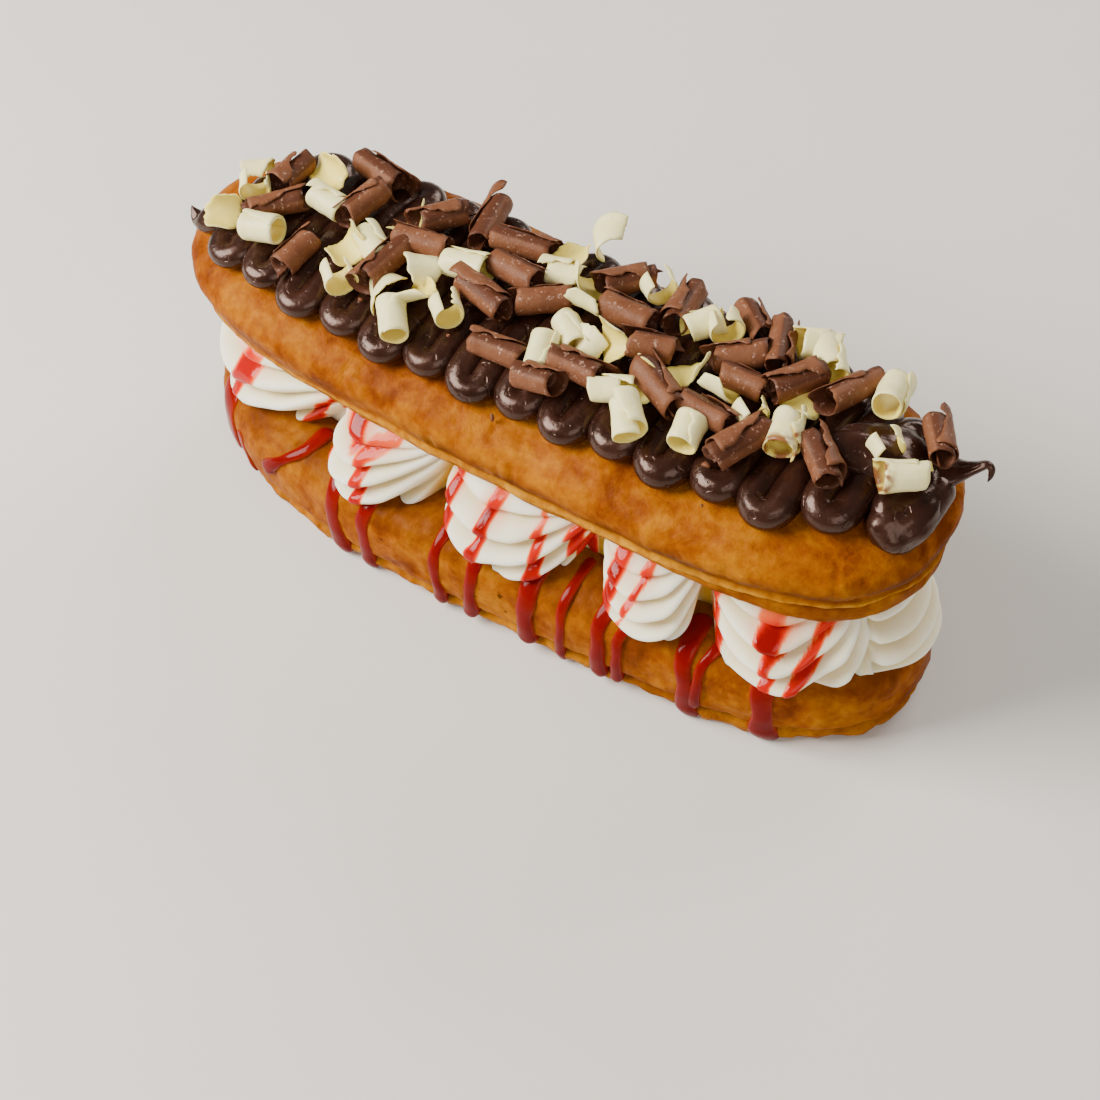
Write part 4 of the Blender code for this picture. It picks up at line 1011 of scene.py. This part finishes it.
def build_cream(material):
    x, y = outline(CREAM_SHAPE, CREAM_AROUND)
    valleys = valley_indices(x, y)
    spacing = float(np.hypot(np.diff(x, append=x[0]), np.diff(y, append=y[0])).sum()) / CREAM_AROUND
    # Each point's share of the way along its swirl, the swirl's length, and its ridges' own shift
    share, length, shift = np.zeros((3, CREAM_AROUND))
    for number, (start, end) in enumerate(zip(valleys, valleys[1:] + [valleys[0] + CREAM_AROUND])):
        span = np.arange(start, end)
        share[span % CREAM_AROUND] = (span - start) / (end - start)
        length[span % CREAM_AROUND] = (end - start) * spacing
        shift[span % CREAM_AROUND] = CREAM_SWIRL_SHIFT * number
    rise, fixed, swelling = smooth_through(CREAM_LEVELS, CREAM_RINGS).T[..., None]
    rise = np.clip(rise, 0.0, 1.0)
    # Each swirl draws in towards its far end, more so below, and its ridges run together there
    reach = 1.0 - CREAM_POCKET * (1.0 - rise) ** 1.3
    part = np.clip(share / reach, 0.0, 1.0)
    bulge = np.sin(math.pi * part**0.80) ** CREAM_ROUNDNESS
    # The last two swirls at the +X end run into each other
    shallow = 1.0 - 0.72 * smooth_step(0.0590, 0.0655, x) * (1.0 - smooth_step(0.002, 0.010, y))
    bulge = 1.0 - (1.0 - bulge) * shallow
    left = (1.03 - share) * length
    down = (1.10 - rise) * CREAM_TALLNESS
    away = np.hypot(left, down)
    flow = joined(x, y, rise * 0.016)
    turns = CREAM_RIDGES * np.arctan2(down, left) / (math.pi / 2.0)
    turns = turns + CREAM_RIDGE_CURL * (away / length) ** 1.6 + shift
    turns = turns + CREAM_RIDGE_WANDER * noise(flow, 0.007, 95)
    groove = (np.sin(math.pi * turns) ** 2 + 0.012) ** 0.36
    free = smooth_step(-0.006, 0.0, fixed)
    fade = smooth_step(0.0, 0.35, bulge) * np.clip(away / 0.015, 0.0, 1.3) * free
    fade = fade * (0.25 + 0.75 * smooth_step(1.0, 0.72, rise)) * (1.0 + 0.5 * smooth_step(0.45, 0.05, rise))
    out = fixed + swelling * CREAM_BULGE * bulge - CREAM_VALLEY_DEPTH * (1.0 - bulge)
    out = out + CREAM_RIDGE_DEPTH * (1.7 * groove - 1.0) * fade
    out = out + CREAM_UNEVENNESS * rough(flow, 0.0075, 91, octaves=2) * free
    px = x * (1.0 + out / CREAM_SHAPE[0]) + CREAM_CENTRE_X
    py = y * (1.0 + out / CREAM_SHAPE[1]) + base_bend(px)
    kept_x, kept_y = kept_on_shoulder(px, py)
    at_floor = 1.0 - smooth_step(0.0, 0.10, rise)
    px = px + (kept_x - px) * at_floor
    py = py + (kept_y - py) * at_floor
    floor = base_top(kept_x, kept_y) + GAP_BELOW_CREAM
    ceiling = cut_height(px, py) - GAP_ABOVE_CREAM
    points = joined(px, py, floor + (ceiling - floor) * rise)
    front = 1.0 - smooth_step(-0.008, -0.002, py)
    sauce = streak_strength(px, rise) * front
    points = points + grid_normals(points) * (SAUCE_ON_CREAM * smooth_step(0.3, 0.8, sauce))[..., None]
    pocket = smooth_step(0.0, 0.06, share - reach + 0.04) + smooth_step(0.5, 0.1, bulge) * 0.6
    custard = np.maximum.reduce([bell(px - place, width, 4) for place, width in CUSTARD])
    custard = custard * front * np.clip(pocket, 0.0, 1.0) * smooth_step(0.95, 0.70, rise)
    # Painted shade in the grooves between ridges and in the valleys between swirls
    groove_shade = 0.95 * np.clip(1.0 - groove, 0.0, 1.0) ** 0.8 * np.clip(fade, 0.0, 1.0)
    groove_shade = groove_shade + 0.35 * smooth_step(0.45, 0.1, bulge)
    ringed_piece("cream_swirls", points, "whipped_cream", material, "cream", {
        "sauce": sauce,
        "groove_shade": np.clip(groove_shade, 0.0, 1.0) * (1.0 - sauce),
        "custard": np.clip(custard, 0.0, 1.0) * (1.0 - np.clip(sauce * 2.0, 0.0, 1.0)),
    })


# Sauce on the lower half

def base_front(x, travelled, profile, reach):
    """Points on the front of the lower half at each x and distance up along the profile."""
    inset = np.interp(travelled, reach, profile[:, 0])
    height = np.interp(travelled, reach, profile[:, 1])
    local_x = x - BASE_CENTRE_X
    y = local_x * math.sin(BASE_YAW) - half_width_at(local_x, BASE_SHAPE, inset) + base_bend(x)
    return joined(x, y, height + swell(x, y) * np.clip(height / BASE_WIDEST_HEIGHT, 0.0, 1.0))


def build_sauce_runs(material):
    # Inset and height along the side of the lower half, from its foot up and over the shoulder
    over = spread(SHOULDER_REACH, SHOULDER_STEPS, 1.9)
    shoulder = joined(over, BASE_WIDEST_HEIGHT + base_dome(over))
    profile = np.concatenate([base_side(SAUCE_CREASE_INSET), shoulder])
    reach = travelled_to(*profile.T)
    rings, thick = [], []
    across = np.linspace(-1.0, 1.0, SAUCE_ACROSS)
    for number, run in enumerate(SAUCE_RUNS):
        x_top, x_end, top, end, half, depth = np.array(run) * MILLIMETRE
        high = np.interp(top, over, reach[-SHOULDER_STEPS:])
        low = np.interp(end, profile[:, 1], reach)
        share = np.linspace(0.0, 1.0, max(SAUCE_FEWEST_ROWS, int((high - low) / SAUCE_STEP)))[:, None]
        wander = np.clip(share + 0.10 * np.sin(share * 6.3 + number), 0.0, 1.0)
        drift = SAUCE_DRIFT * noise(joined(share * 0.02, 0.0, 0.0), 0.004, 100 + number)
        waist = 0.78 + 0.30 * (1.0 - share) ** 2 + 0.34 * smooth_step(0.60, 0.93, share)
        waist = waist + 0.10 * noise(joined(share * 0.03, 0.0, 0.0), 0.005, 140 + number)
        # Both ends are rounded
        tip, start = (np.clip(1.0 - left * (high - low) / half, 0.0, 1.0) for left in (1.0 - share, share))
        rounded = np.clip(1.0 - tip**2, 0.0009, 1.0) * np.clip(1.0 - start**2, 0.0009, 1.0)
        width = half * waist * np.sqrt(rounded)
        x = x_top + (x_end - x_top) * wander + drift + width * across
        travelled = high + (low - high) * share + 0.0 * across
        swollen = 0.65 + 0.55 * smooth_step(0.5, 0.95, share)
        level = np.sqrt(1.0 - across**2) * swollen * np.minimum(width / half * 1.3, 1.0)
        skin, above, below, right, left = (
            base_front(x + along, travelled + up, profile, reach)
            for along, up in np.array(((0, 0), (0, 1), (0, -1), (1, 0), (-1, 0))) * SAUCE_PROBE)
        normal = np.cross(right - left, above - below)
        normal = normal / np.linalg.norm(normal, axis=-1, keepdims=True)
        outer = skin + normal * (SAUCE_FILM + depth * level)[..., None]
        ring = np.concatenate([outer, (skin - normal * SAUCE_SUNK)[:, ::-1]], axis=1)
        ring[..., 2] = np.maximum(ring[..., 2], SAUCE_LOWEST)
        rings.append(ring)
        level = np.concatenate([level, 0.0 * level], axis=1)
        deep = 0.95 * min(1.0, half / SAUCE_DEEP_HALF_WIDTH)
        thick.append((0.15 + deep * level + 0.25 * (share > 0.85)).ravel())
    add_piece("sauce_runs", *flat_tubes(rings, False), "berry_sauce", material, None, {
        "thick": np.clip(np.concatenate(thick), 0.0, 1.0),
    })


# Piped chocolate

def lobe_limits(x):
    """Front and rear limits of the strand's outer edge at each x."""
    half = half_width_at(x, LID_SHAPE)
    middle = LID_CENTRE_Y + LOBE_UNEVENNESS * np.sin(x * LOBE_DRIFT_RATE + 0.6)
    return middle - half + FRONT_LOBE_INSET, middle + half - REAR_LOBE_INSET


def strand_path():
    """Centre line of the zigzag in plan, and the distance along it at each point."""
    draw = random.Random(STRAND_SEED)
    quarter = LOBE_PITCH / 4.0
    outer = quarter + STRAND_RADIUS
    corners = []

    def run(x, start, end):
        corners.extend((x, y) for y in np.linspace(start, end, RUN_STEPS))

    def turn(x, y, end):
        for angle in np.linspace(math.pi, end, TURN_STEPS)[1:-1]:
            corners.append((x + quarter * math.cos(angle), y + quarter * math.sin(angle)))

    for lobe in range(FRONT_LOBES):
        x = FIRST_LOBE_X + lobe * LOBE_PITCH
        rear_x = x + LOBE_PITCH / 2.0
        front = lobe_limits(x)[0] + outer + draw.uniform(-FRONT_LOBE_PLAY, FRONT_LOBE_PLAY)
        rear = lobe_limits(rear_x)[1] - outer + draw.uniform(-REAR_LOBE_PLAY, REAR_LOBE_PLAY)
        if lobe == 0:
            start = lobe_limits(x - LOBE_PITCH / 2.0)[1] - outer - FIRST_RUN_SHORTER
            run(x - quarter, start, front)
        turn(x, front, 2.0 * math.pi)
        if lobe == FRONT_LOBES - 1:
            run(x + quarter, front, LAST_RUN_END_Y)
        else:
            run(x + quarter, front, rear)
            turn(rear_x, rear, 0.0)
            run(rear_x + quarter, rear, lobe_limits(x + LOBE_PITCH)[0] + outer)
    corners = np.array(corners)
    corners[:, 0] += STRAND_WANDER * noise(joined(*corners.T, 0.0), 0.011, 111)
    travelled = travelled_to(*corners.T)
    stops = np.arange(0.0, travelled[-1], STRAND_STEP)
    path = joined(*(np.interp(stops, travelled, column) for column in corners.T))
    for _ in range(3):
        path[1:-1] = (path[:-2] + 2.0 * path[1:-1] + path[2:]) / 4.0
    return path, stops


def rest_height(x, y):
    """Height of the lid under a strand, averaged over the strand's width."""
    reach = STRAND_RADIUS * 0.6
    around = ((0.0, 0.0), (reach, 0.0), (-reach, 0.0), (0.0, reach), (0.0, -reach))
    return sum(lid_top(x + shift_x, y + shift_y) for shift_x, shift_y in around) / 5.0


def build_strand(material):
    path, stops = strand_path()
    x, y = path.T
    flat = STRAND_RADIUS * STRAND_FLATTENING * (1.0 + STRAND_GROWTH * x / LID_SHAPE[0])
    centre = joined(x, y, rest_height(x, y) + flat * STRAND_REST)
    streak = rough(round_grain(stops * 0.12, STRAND_SIDES), 0.0011, 131, octaves=2)
    lumps = 1.0 + 0.035 * rough(round_grain(stops, STRAND_SIDES), 0.005, 137)
    ends = np.minimum(np.arange(len(x)), np.arange(len(x))[::-1]) * STRAND_STEP / STRAND_RADIUS
    taper = np.sqrt(1.0 - (1.0 - np.clip(ends, 0.02, 1.0)) ** 2)
    size = (taper * (1.0 + 0.05 * noise(joined(stops, 0.0, 0.0), 0.006, 121)))[:, None]
    wide = STRAND_RADIUS * STRAND_WIDENING * size * (lumps + 0.012 * streak)
    tall = flat[:, None] * size * (lumps + 0.008 * streak)
    add_strand("piped_chocolate", centre, wide, tall, material, streak)


def build_ends(material):
    for name, rings, seed, wrinkle, stops in PULLED_PIECES:
        x, y, over, wide, tall = smooth_through(stops, rings).T * MILLIMETRE
        rest = lid_top(np.clip(x, -PULLED_LID_REACH, PULLED_LID_REACH), y)
        centre = joined(x, y, rest + over)
        flow = round_grain(travelled_to(*centre.T) * 0.35, PULLED_SIDES)
        folds = 1.0 + wrinkle * rough(flow, 0.0020, seed)
        streak = rough(flow, 0.0011, seed + 5, octaves=2)
        add_strand(name, centre, wide[:, None] * folds, tall[:, None] * folds, material, streak)


# Curls

def run_gap(first, second):
    """Smallest distance in plan between two curls, each given as x, y, yaw and length."""
    steps = np.linspace(-0.5, 0.5, 7)
    ends = []
    for x, y, yaw, length in (first, second):
        ends.append((x + steps * length * math.cos(yaw), y + steps * length * math.sin(yaw)))
    across = ends[0][0][:, None] - ends[1][0][None, :]
    along = ends[0][1][:, None] - ends[1][1][None, :]
    return float(np.hypot(across, along).min())


def curl_places():
    draw = random.Random(CURL_SEED)
    places = []
    for kind, lobe, share, heading, length in CURLS:
        radii, sweeps, most_roll, most_tilt = CURL_SIZES[kind]
        x = FIRST_LOBE_X + lobe * LOBE_PITCH
        front, rear = (float(limit) for limit in lobe_limits(x))
        y = min(max(front + (rear - front) * share, front + CURL_MARGIN), rear - CURL_MARGIN)
        run = (x, y, math.radians(heading), length * MILLIMETRE)
        radius = draw.uniform(*radii)
        near = [run_gap(run, other["run"]) for other in places[-CURL_NEIGHBOURS:]]
        crowding = max(0.0, CURL_OVERLAP_REACH * radius - min(near, default=1.0))
        roll = draw.uniform(-most_roll, most_roll)
        turned_over = kind == "petal" and draw.random() < PETAL_FACE_DOWN
        places.append({
            "kind": kind,
            "run": run,
            "radius": radius,
            "sweep": draw.uniform(*sweeps),
            "raised": min(crowding * CURL_OVERLAP_LIFT, CURL_MOST_RAISED),
            "tilt": draw.uniform(-most_tilt, most_tilt),
            "roll": roll + (math.pi if turned_over else 0.0),
            "lean": draw.uniform(-CURL_MOST_LEAN, CURL_MOST_LEAN),
        })
    return places


def lid_slope(x, y):
    """Turn that lays a flat thing along the lid at a point."""
    span = CURL_SLOPE_SPAN
    here_x, here_y = np.array([x - span, x + span, x, x]), np.array([y, y, y - span, y + span])
    heights = lid_top(here_x, here_y)
    normal = Vector((heights[0] - heights[1], heights[2] - heights[3], 2.0 * span))
    return Vector((0.0, 0.0, 1.0)).rotation_difference(normal).to_matrix().to_4x4()


def laid_down(points, place):
    """The curl's points turned, and lowered until its lowest point rests in the piping."""
    x, y, yaw, _ = place["run"]
    spin = np.array(Euler((place["roll"], place["tilt"], 0.0)).to_matrix())
    turned_points = points @ spin.T
    crest = 2.0 * STRAND_RADIUS * STRAND_FLATTENING * (1.0 + STRAND_GROWTH * x / LID_SHAPE[0])
    corners = turned_points.reshape(-1, 3)
    turned_points[..., :2] -= (corners[:, :2].min(axis=0) + corners[:, :2].max(axis=0)) / 2.0
    turned_points[..., 2] += crest - CURL_SINK + place["raised"] - corners[:, 2].min()
    lay = lid_slope(x, y) @ Matrix.Rotation(yaw, 4, "Z")
    foot = np.array([x, y, float(lid_top(np.array(x), np.array(y)))])
    return turned_points @ np.array(lay.to_3x3()).T + foot


def curl_sheet(place, number):
    """Rings of a rolled sheet across its thickness, its inner side, which takes painted shade, and the
    place along it.
    """
    draw = random.Random(CURL_SHEET_SEED + number)
    kind, sweep = place["kind"], place["sweep"]
    steps, thickness, inner_end, rag, slant, cone = CURL_FORMS[kind]
    winding = {wound_kind: draw.uniform(*limits) for wound_kind, limits in CURL_WINDING.items()}
    wound = winding.get(kind, 0.0)
    slant = slant * draw.choice((-1.0, 1.0))
    cone = cone * draw.uniform(-1.0, 1.0)
    share = np.linspace(0.0, 1.0, steps)
    line = np.linspace(-1.0, 1.0, CURL_ALONG)
    # Share of the outer turn, which is below zero where the sheet is wound inside it
    outer = (share * (sweep + wound) - wound) / sweep
    shrunk = 1.0 + (1.0 - inner_end) * outer * sweep / max(wound, 1.0)
    reach = np.where(outer > 0.0, 1.0 + CURL_GROWTH * outer, shrunk)
    torn = rough(joined(line * 0.006, 0.0, number), 0.0024, 800 + number)
    angle = np.radians(-90.0 - sweep / 2.0 + sweep * outer)[:, None]
    angle = angle + np.radians(sweep) * slant * (line + 0.7 * torn) * np.clip(outer, 0.0, 1.0)[:, None]
    jags = (rough(joined(share * 0.020, 0.0, number), 0.0032, 600 + 2 * number + end) for end in (0, 1))
    ends = [place["run"][3] / 2.0 * (1.0 + rag * jag) for jag in jags]
    slide = place["lean"] * (outer - 0.5)
    if kind in ("petal", "ring"):
        slide = slide * 0.5
    if kind == "petal":
        corner = np.clip(np.abs(2.0 * outer - 1.0), 0.0, 1.2)
        ends = [half * (1.0 - 0.45 * corner**2.5) for half in ends]
    if kind == "milk":
        reach = reach + 0.05 * smooth_step(0.90, 1.0, outer)
    u = np.where(line < 0.0, ends[0][:, None], ends[1][:, None]) * line + slide[:, None]
    flare = 1.0 + cone * line + 0.05 * line**2
    edge = np.minimum(1.0, (1.0 - np.abs(line)) * 6.0 + 0.45)
    tip = np.minimum(1.0, np.minimum(share, 1.0 - share) * 14.0 + 0.35)[:, None]
    wave = CURL_WAVE * rough(joined(angle * 0.002, u, number), 0.0022, 700 + number)
    middle = place["radius"] * reach[:, None] * flare - thickness / 2.0 + wave
    half_thick = thickness * 0.5 * edge * tip
    outside, inside = (joined(u, side * np.cos(angle), side * np.sin(angle))
                       for side in (middle + half_thick, middle - half_thick))
    ring = np.concatenate([outside, inside[:, ::-1]], axis=1)
    # The inner side of the sheet, and for milk curls the turns wound inside, get painted shade
    inner = np.concatenate([np.zeros(u.shape), np.ones(u.shape)], axis=1)
    if kind == "milk":
        inner = np.maximum(inner, (outer < 0.0)[:, None])
    return ring, inner, np.concatenate([line, line[::-1]])


def build_curls(milk, white):
    places = curl_places()
    for spec, material in (("milk", milk), ("white", white)):
        rings, inner_values, baked_values = [], [], []
        for number, place in enumerate(places):
            if (place["kind"] == "milk") != (spec == "milk"):
                continue
            x, y = place["run"][:2]
            ring, inner, along = curl_sheet(place, number)
            rings.append(laid_down(ring, place))
            inner_values.append(inner.ravel())
            # Browned ends of the tubes near the front of the +X end
            baked = smooth_step(0.35, 0.9, along if x < 0.06 else -along) * np.ones(inner.shape)
            baked_here = place["kind"] == "tube" and x > 0.053 and y < 0.002
            baked_values.append(baked.ravel() * baked_here)
        values = {"inner": np.concatenate(inner_values)}
        if spec == "white":
            values["baked"] = np.concatenate(baked_values)
        add_piece(spec + "_curls", *flat_tubes(rings, True), spec + "_chocolate", material,
                  "chocolate_topping", values)


# Crumbs

def build_crumbs(material):
    """Small broken bits of chocolate, each of three rings of eight points between two tips."""
    vertices, faces = [], []
    draw = random.Random(CRUMB_SEED)
    for x, y, over, size in CRUMBS:
        x, y = x * MILLIMETRE, y * MILLIMETRE
        base = lid_top(np.array(x), np.array(y)) + over * MILLIMETRE
        first = len(vertices)
        angles = np.arange(8) * math.pi / 4.0 + draw.uniform(0.0, 3.0)
        corners = [(ring * math.cos(angle), ring * math.sin(angle), high)
                   for ring, high in CRUMB_RINGS for angle in angles]
        for corner in (*corners, (0.0, 0.0, -1.0), (0.0, 0.0, 1.0)):
            broken = 1.0 + CRUMB_BREAKS * draw.uniform(-1.0, 1.0)
            point = np.array(corner) * broken * np.array(size) * MILLIMETRE
            vertices.append(point + (x, y, base))
        faces += closed_faces(3, 8, first)
        for turn in range(8):
            a, b = first + turn, first + (turn + 1) % 8
            faces += [[b, a, first + 24], [a + 16, b + 16, first + 25]]
    add_piece("crumbs", vertices, faces, "milk_chocolate", material, None,
              {"inner": np.zeros(len(vertices))})


# Floor, light and camera

def build_stage():
    mesh = bpy.data.meshes.new("floor")
    corners = [(x, y, 0.0) for x, y in ((-1, -1), (1, -1), (1, 1), (-1, 1))]
    mesh.from_pydata(np.multiply(corners, FLOOR_HALF_SIZE).tolist(), [], [(0, 1, 2, 3)])
    mesh.materials.append(floor_material())
    floor = bpy.data.objects.new("floor", mesh)
    bpy.context.scene.collection.objects.link(floor)


def build_camera():
    azimuth, elevation, roll = CAMERA_AZIMUTH, CAMERA_ELEVATION, CAMERA_ROLL
    flat = math.cos(elevation)
    back = Vector((math.sin(azimuth) * flat, -math.cos(azimuth) * flat, math.sin(elevation)))
    level = Vector((math.cos(azimuth), math.sin(azimuth), 0.0))
    upright = back.cross(level)
    right = level * math.cos(roll) - upright * math.sin(roll)
    up = level * math.sin(roll) + upright * math.cos(roll)
    data = bpy.data.cameras.new("camera")
    data.sensor_width = CAMERA_SENSOR
    data.lens = CAMERA_LENS
    data.clip_start = 0.01
    camera = bpy.data.objects.new("camera", data)
    camera.matrix_world = Matrix.Translation(CAMERA_TARGET + back * CAMERA_DISTANCE) @ Matrix(
        (right, up, back)).transposed().to_4x4()
    bpy.context.scene.collection.objects.link(camera)
    bpy.context.scene.camera = camera


def build_lights():
    for name, place, (wide, tall), power, colour in LIGHTS:
        data = bpy.data.lights.new(name, "AREA")
        data.shape = "RECTANGLE"
        data.size, data.size_y = wide, tall
        data.energy = power
        data.color = colour
        light = bpy.data.objects.new(name, data)
        light.location = place
        light.rotation_euler = (LIGHT_TARGET - Vector(place)).to_track_quat("-Z", "Y").to_euler()
        bpy.context.scene.collection.objects.link(light)
    world = bpy.data.worlds.new("studio")
    bpy.context.scene.world = world
    world.use_nodes = True
    background = world.node_tree.nodes["Background"]
    background.inputs["Color"].default_value = WORLD_COLOUR
    background.inputs["Strength"].default_value = WORLD_STRENGTH


def main():
    build_camera()
    crust = crust_material()
    build_base(crust)
    build_lid(crust)
    build_cream(cream_material())
    chocolate = chocolate_material()
    build_strand(chocolate)
    build_ends(chocolate)
    milk = milk_material()
    build_curls(milk, white_material())
    build_crumbs(milk)
    build_sauce_runs(sauce_material())
    build_stage()
    build_lights()


main()
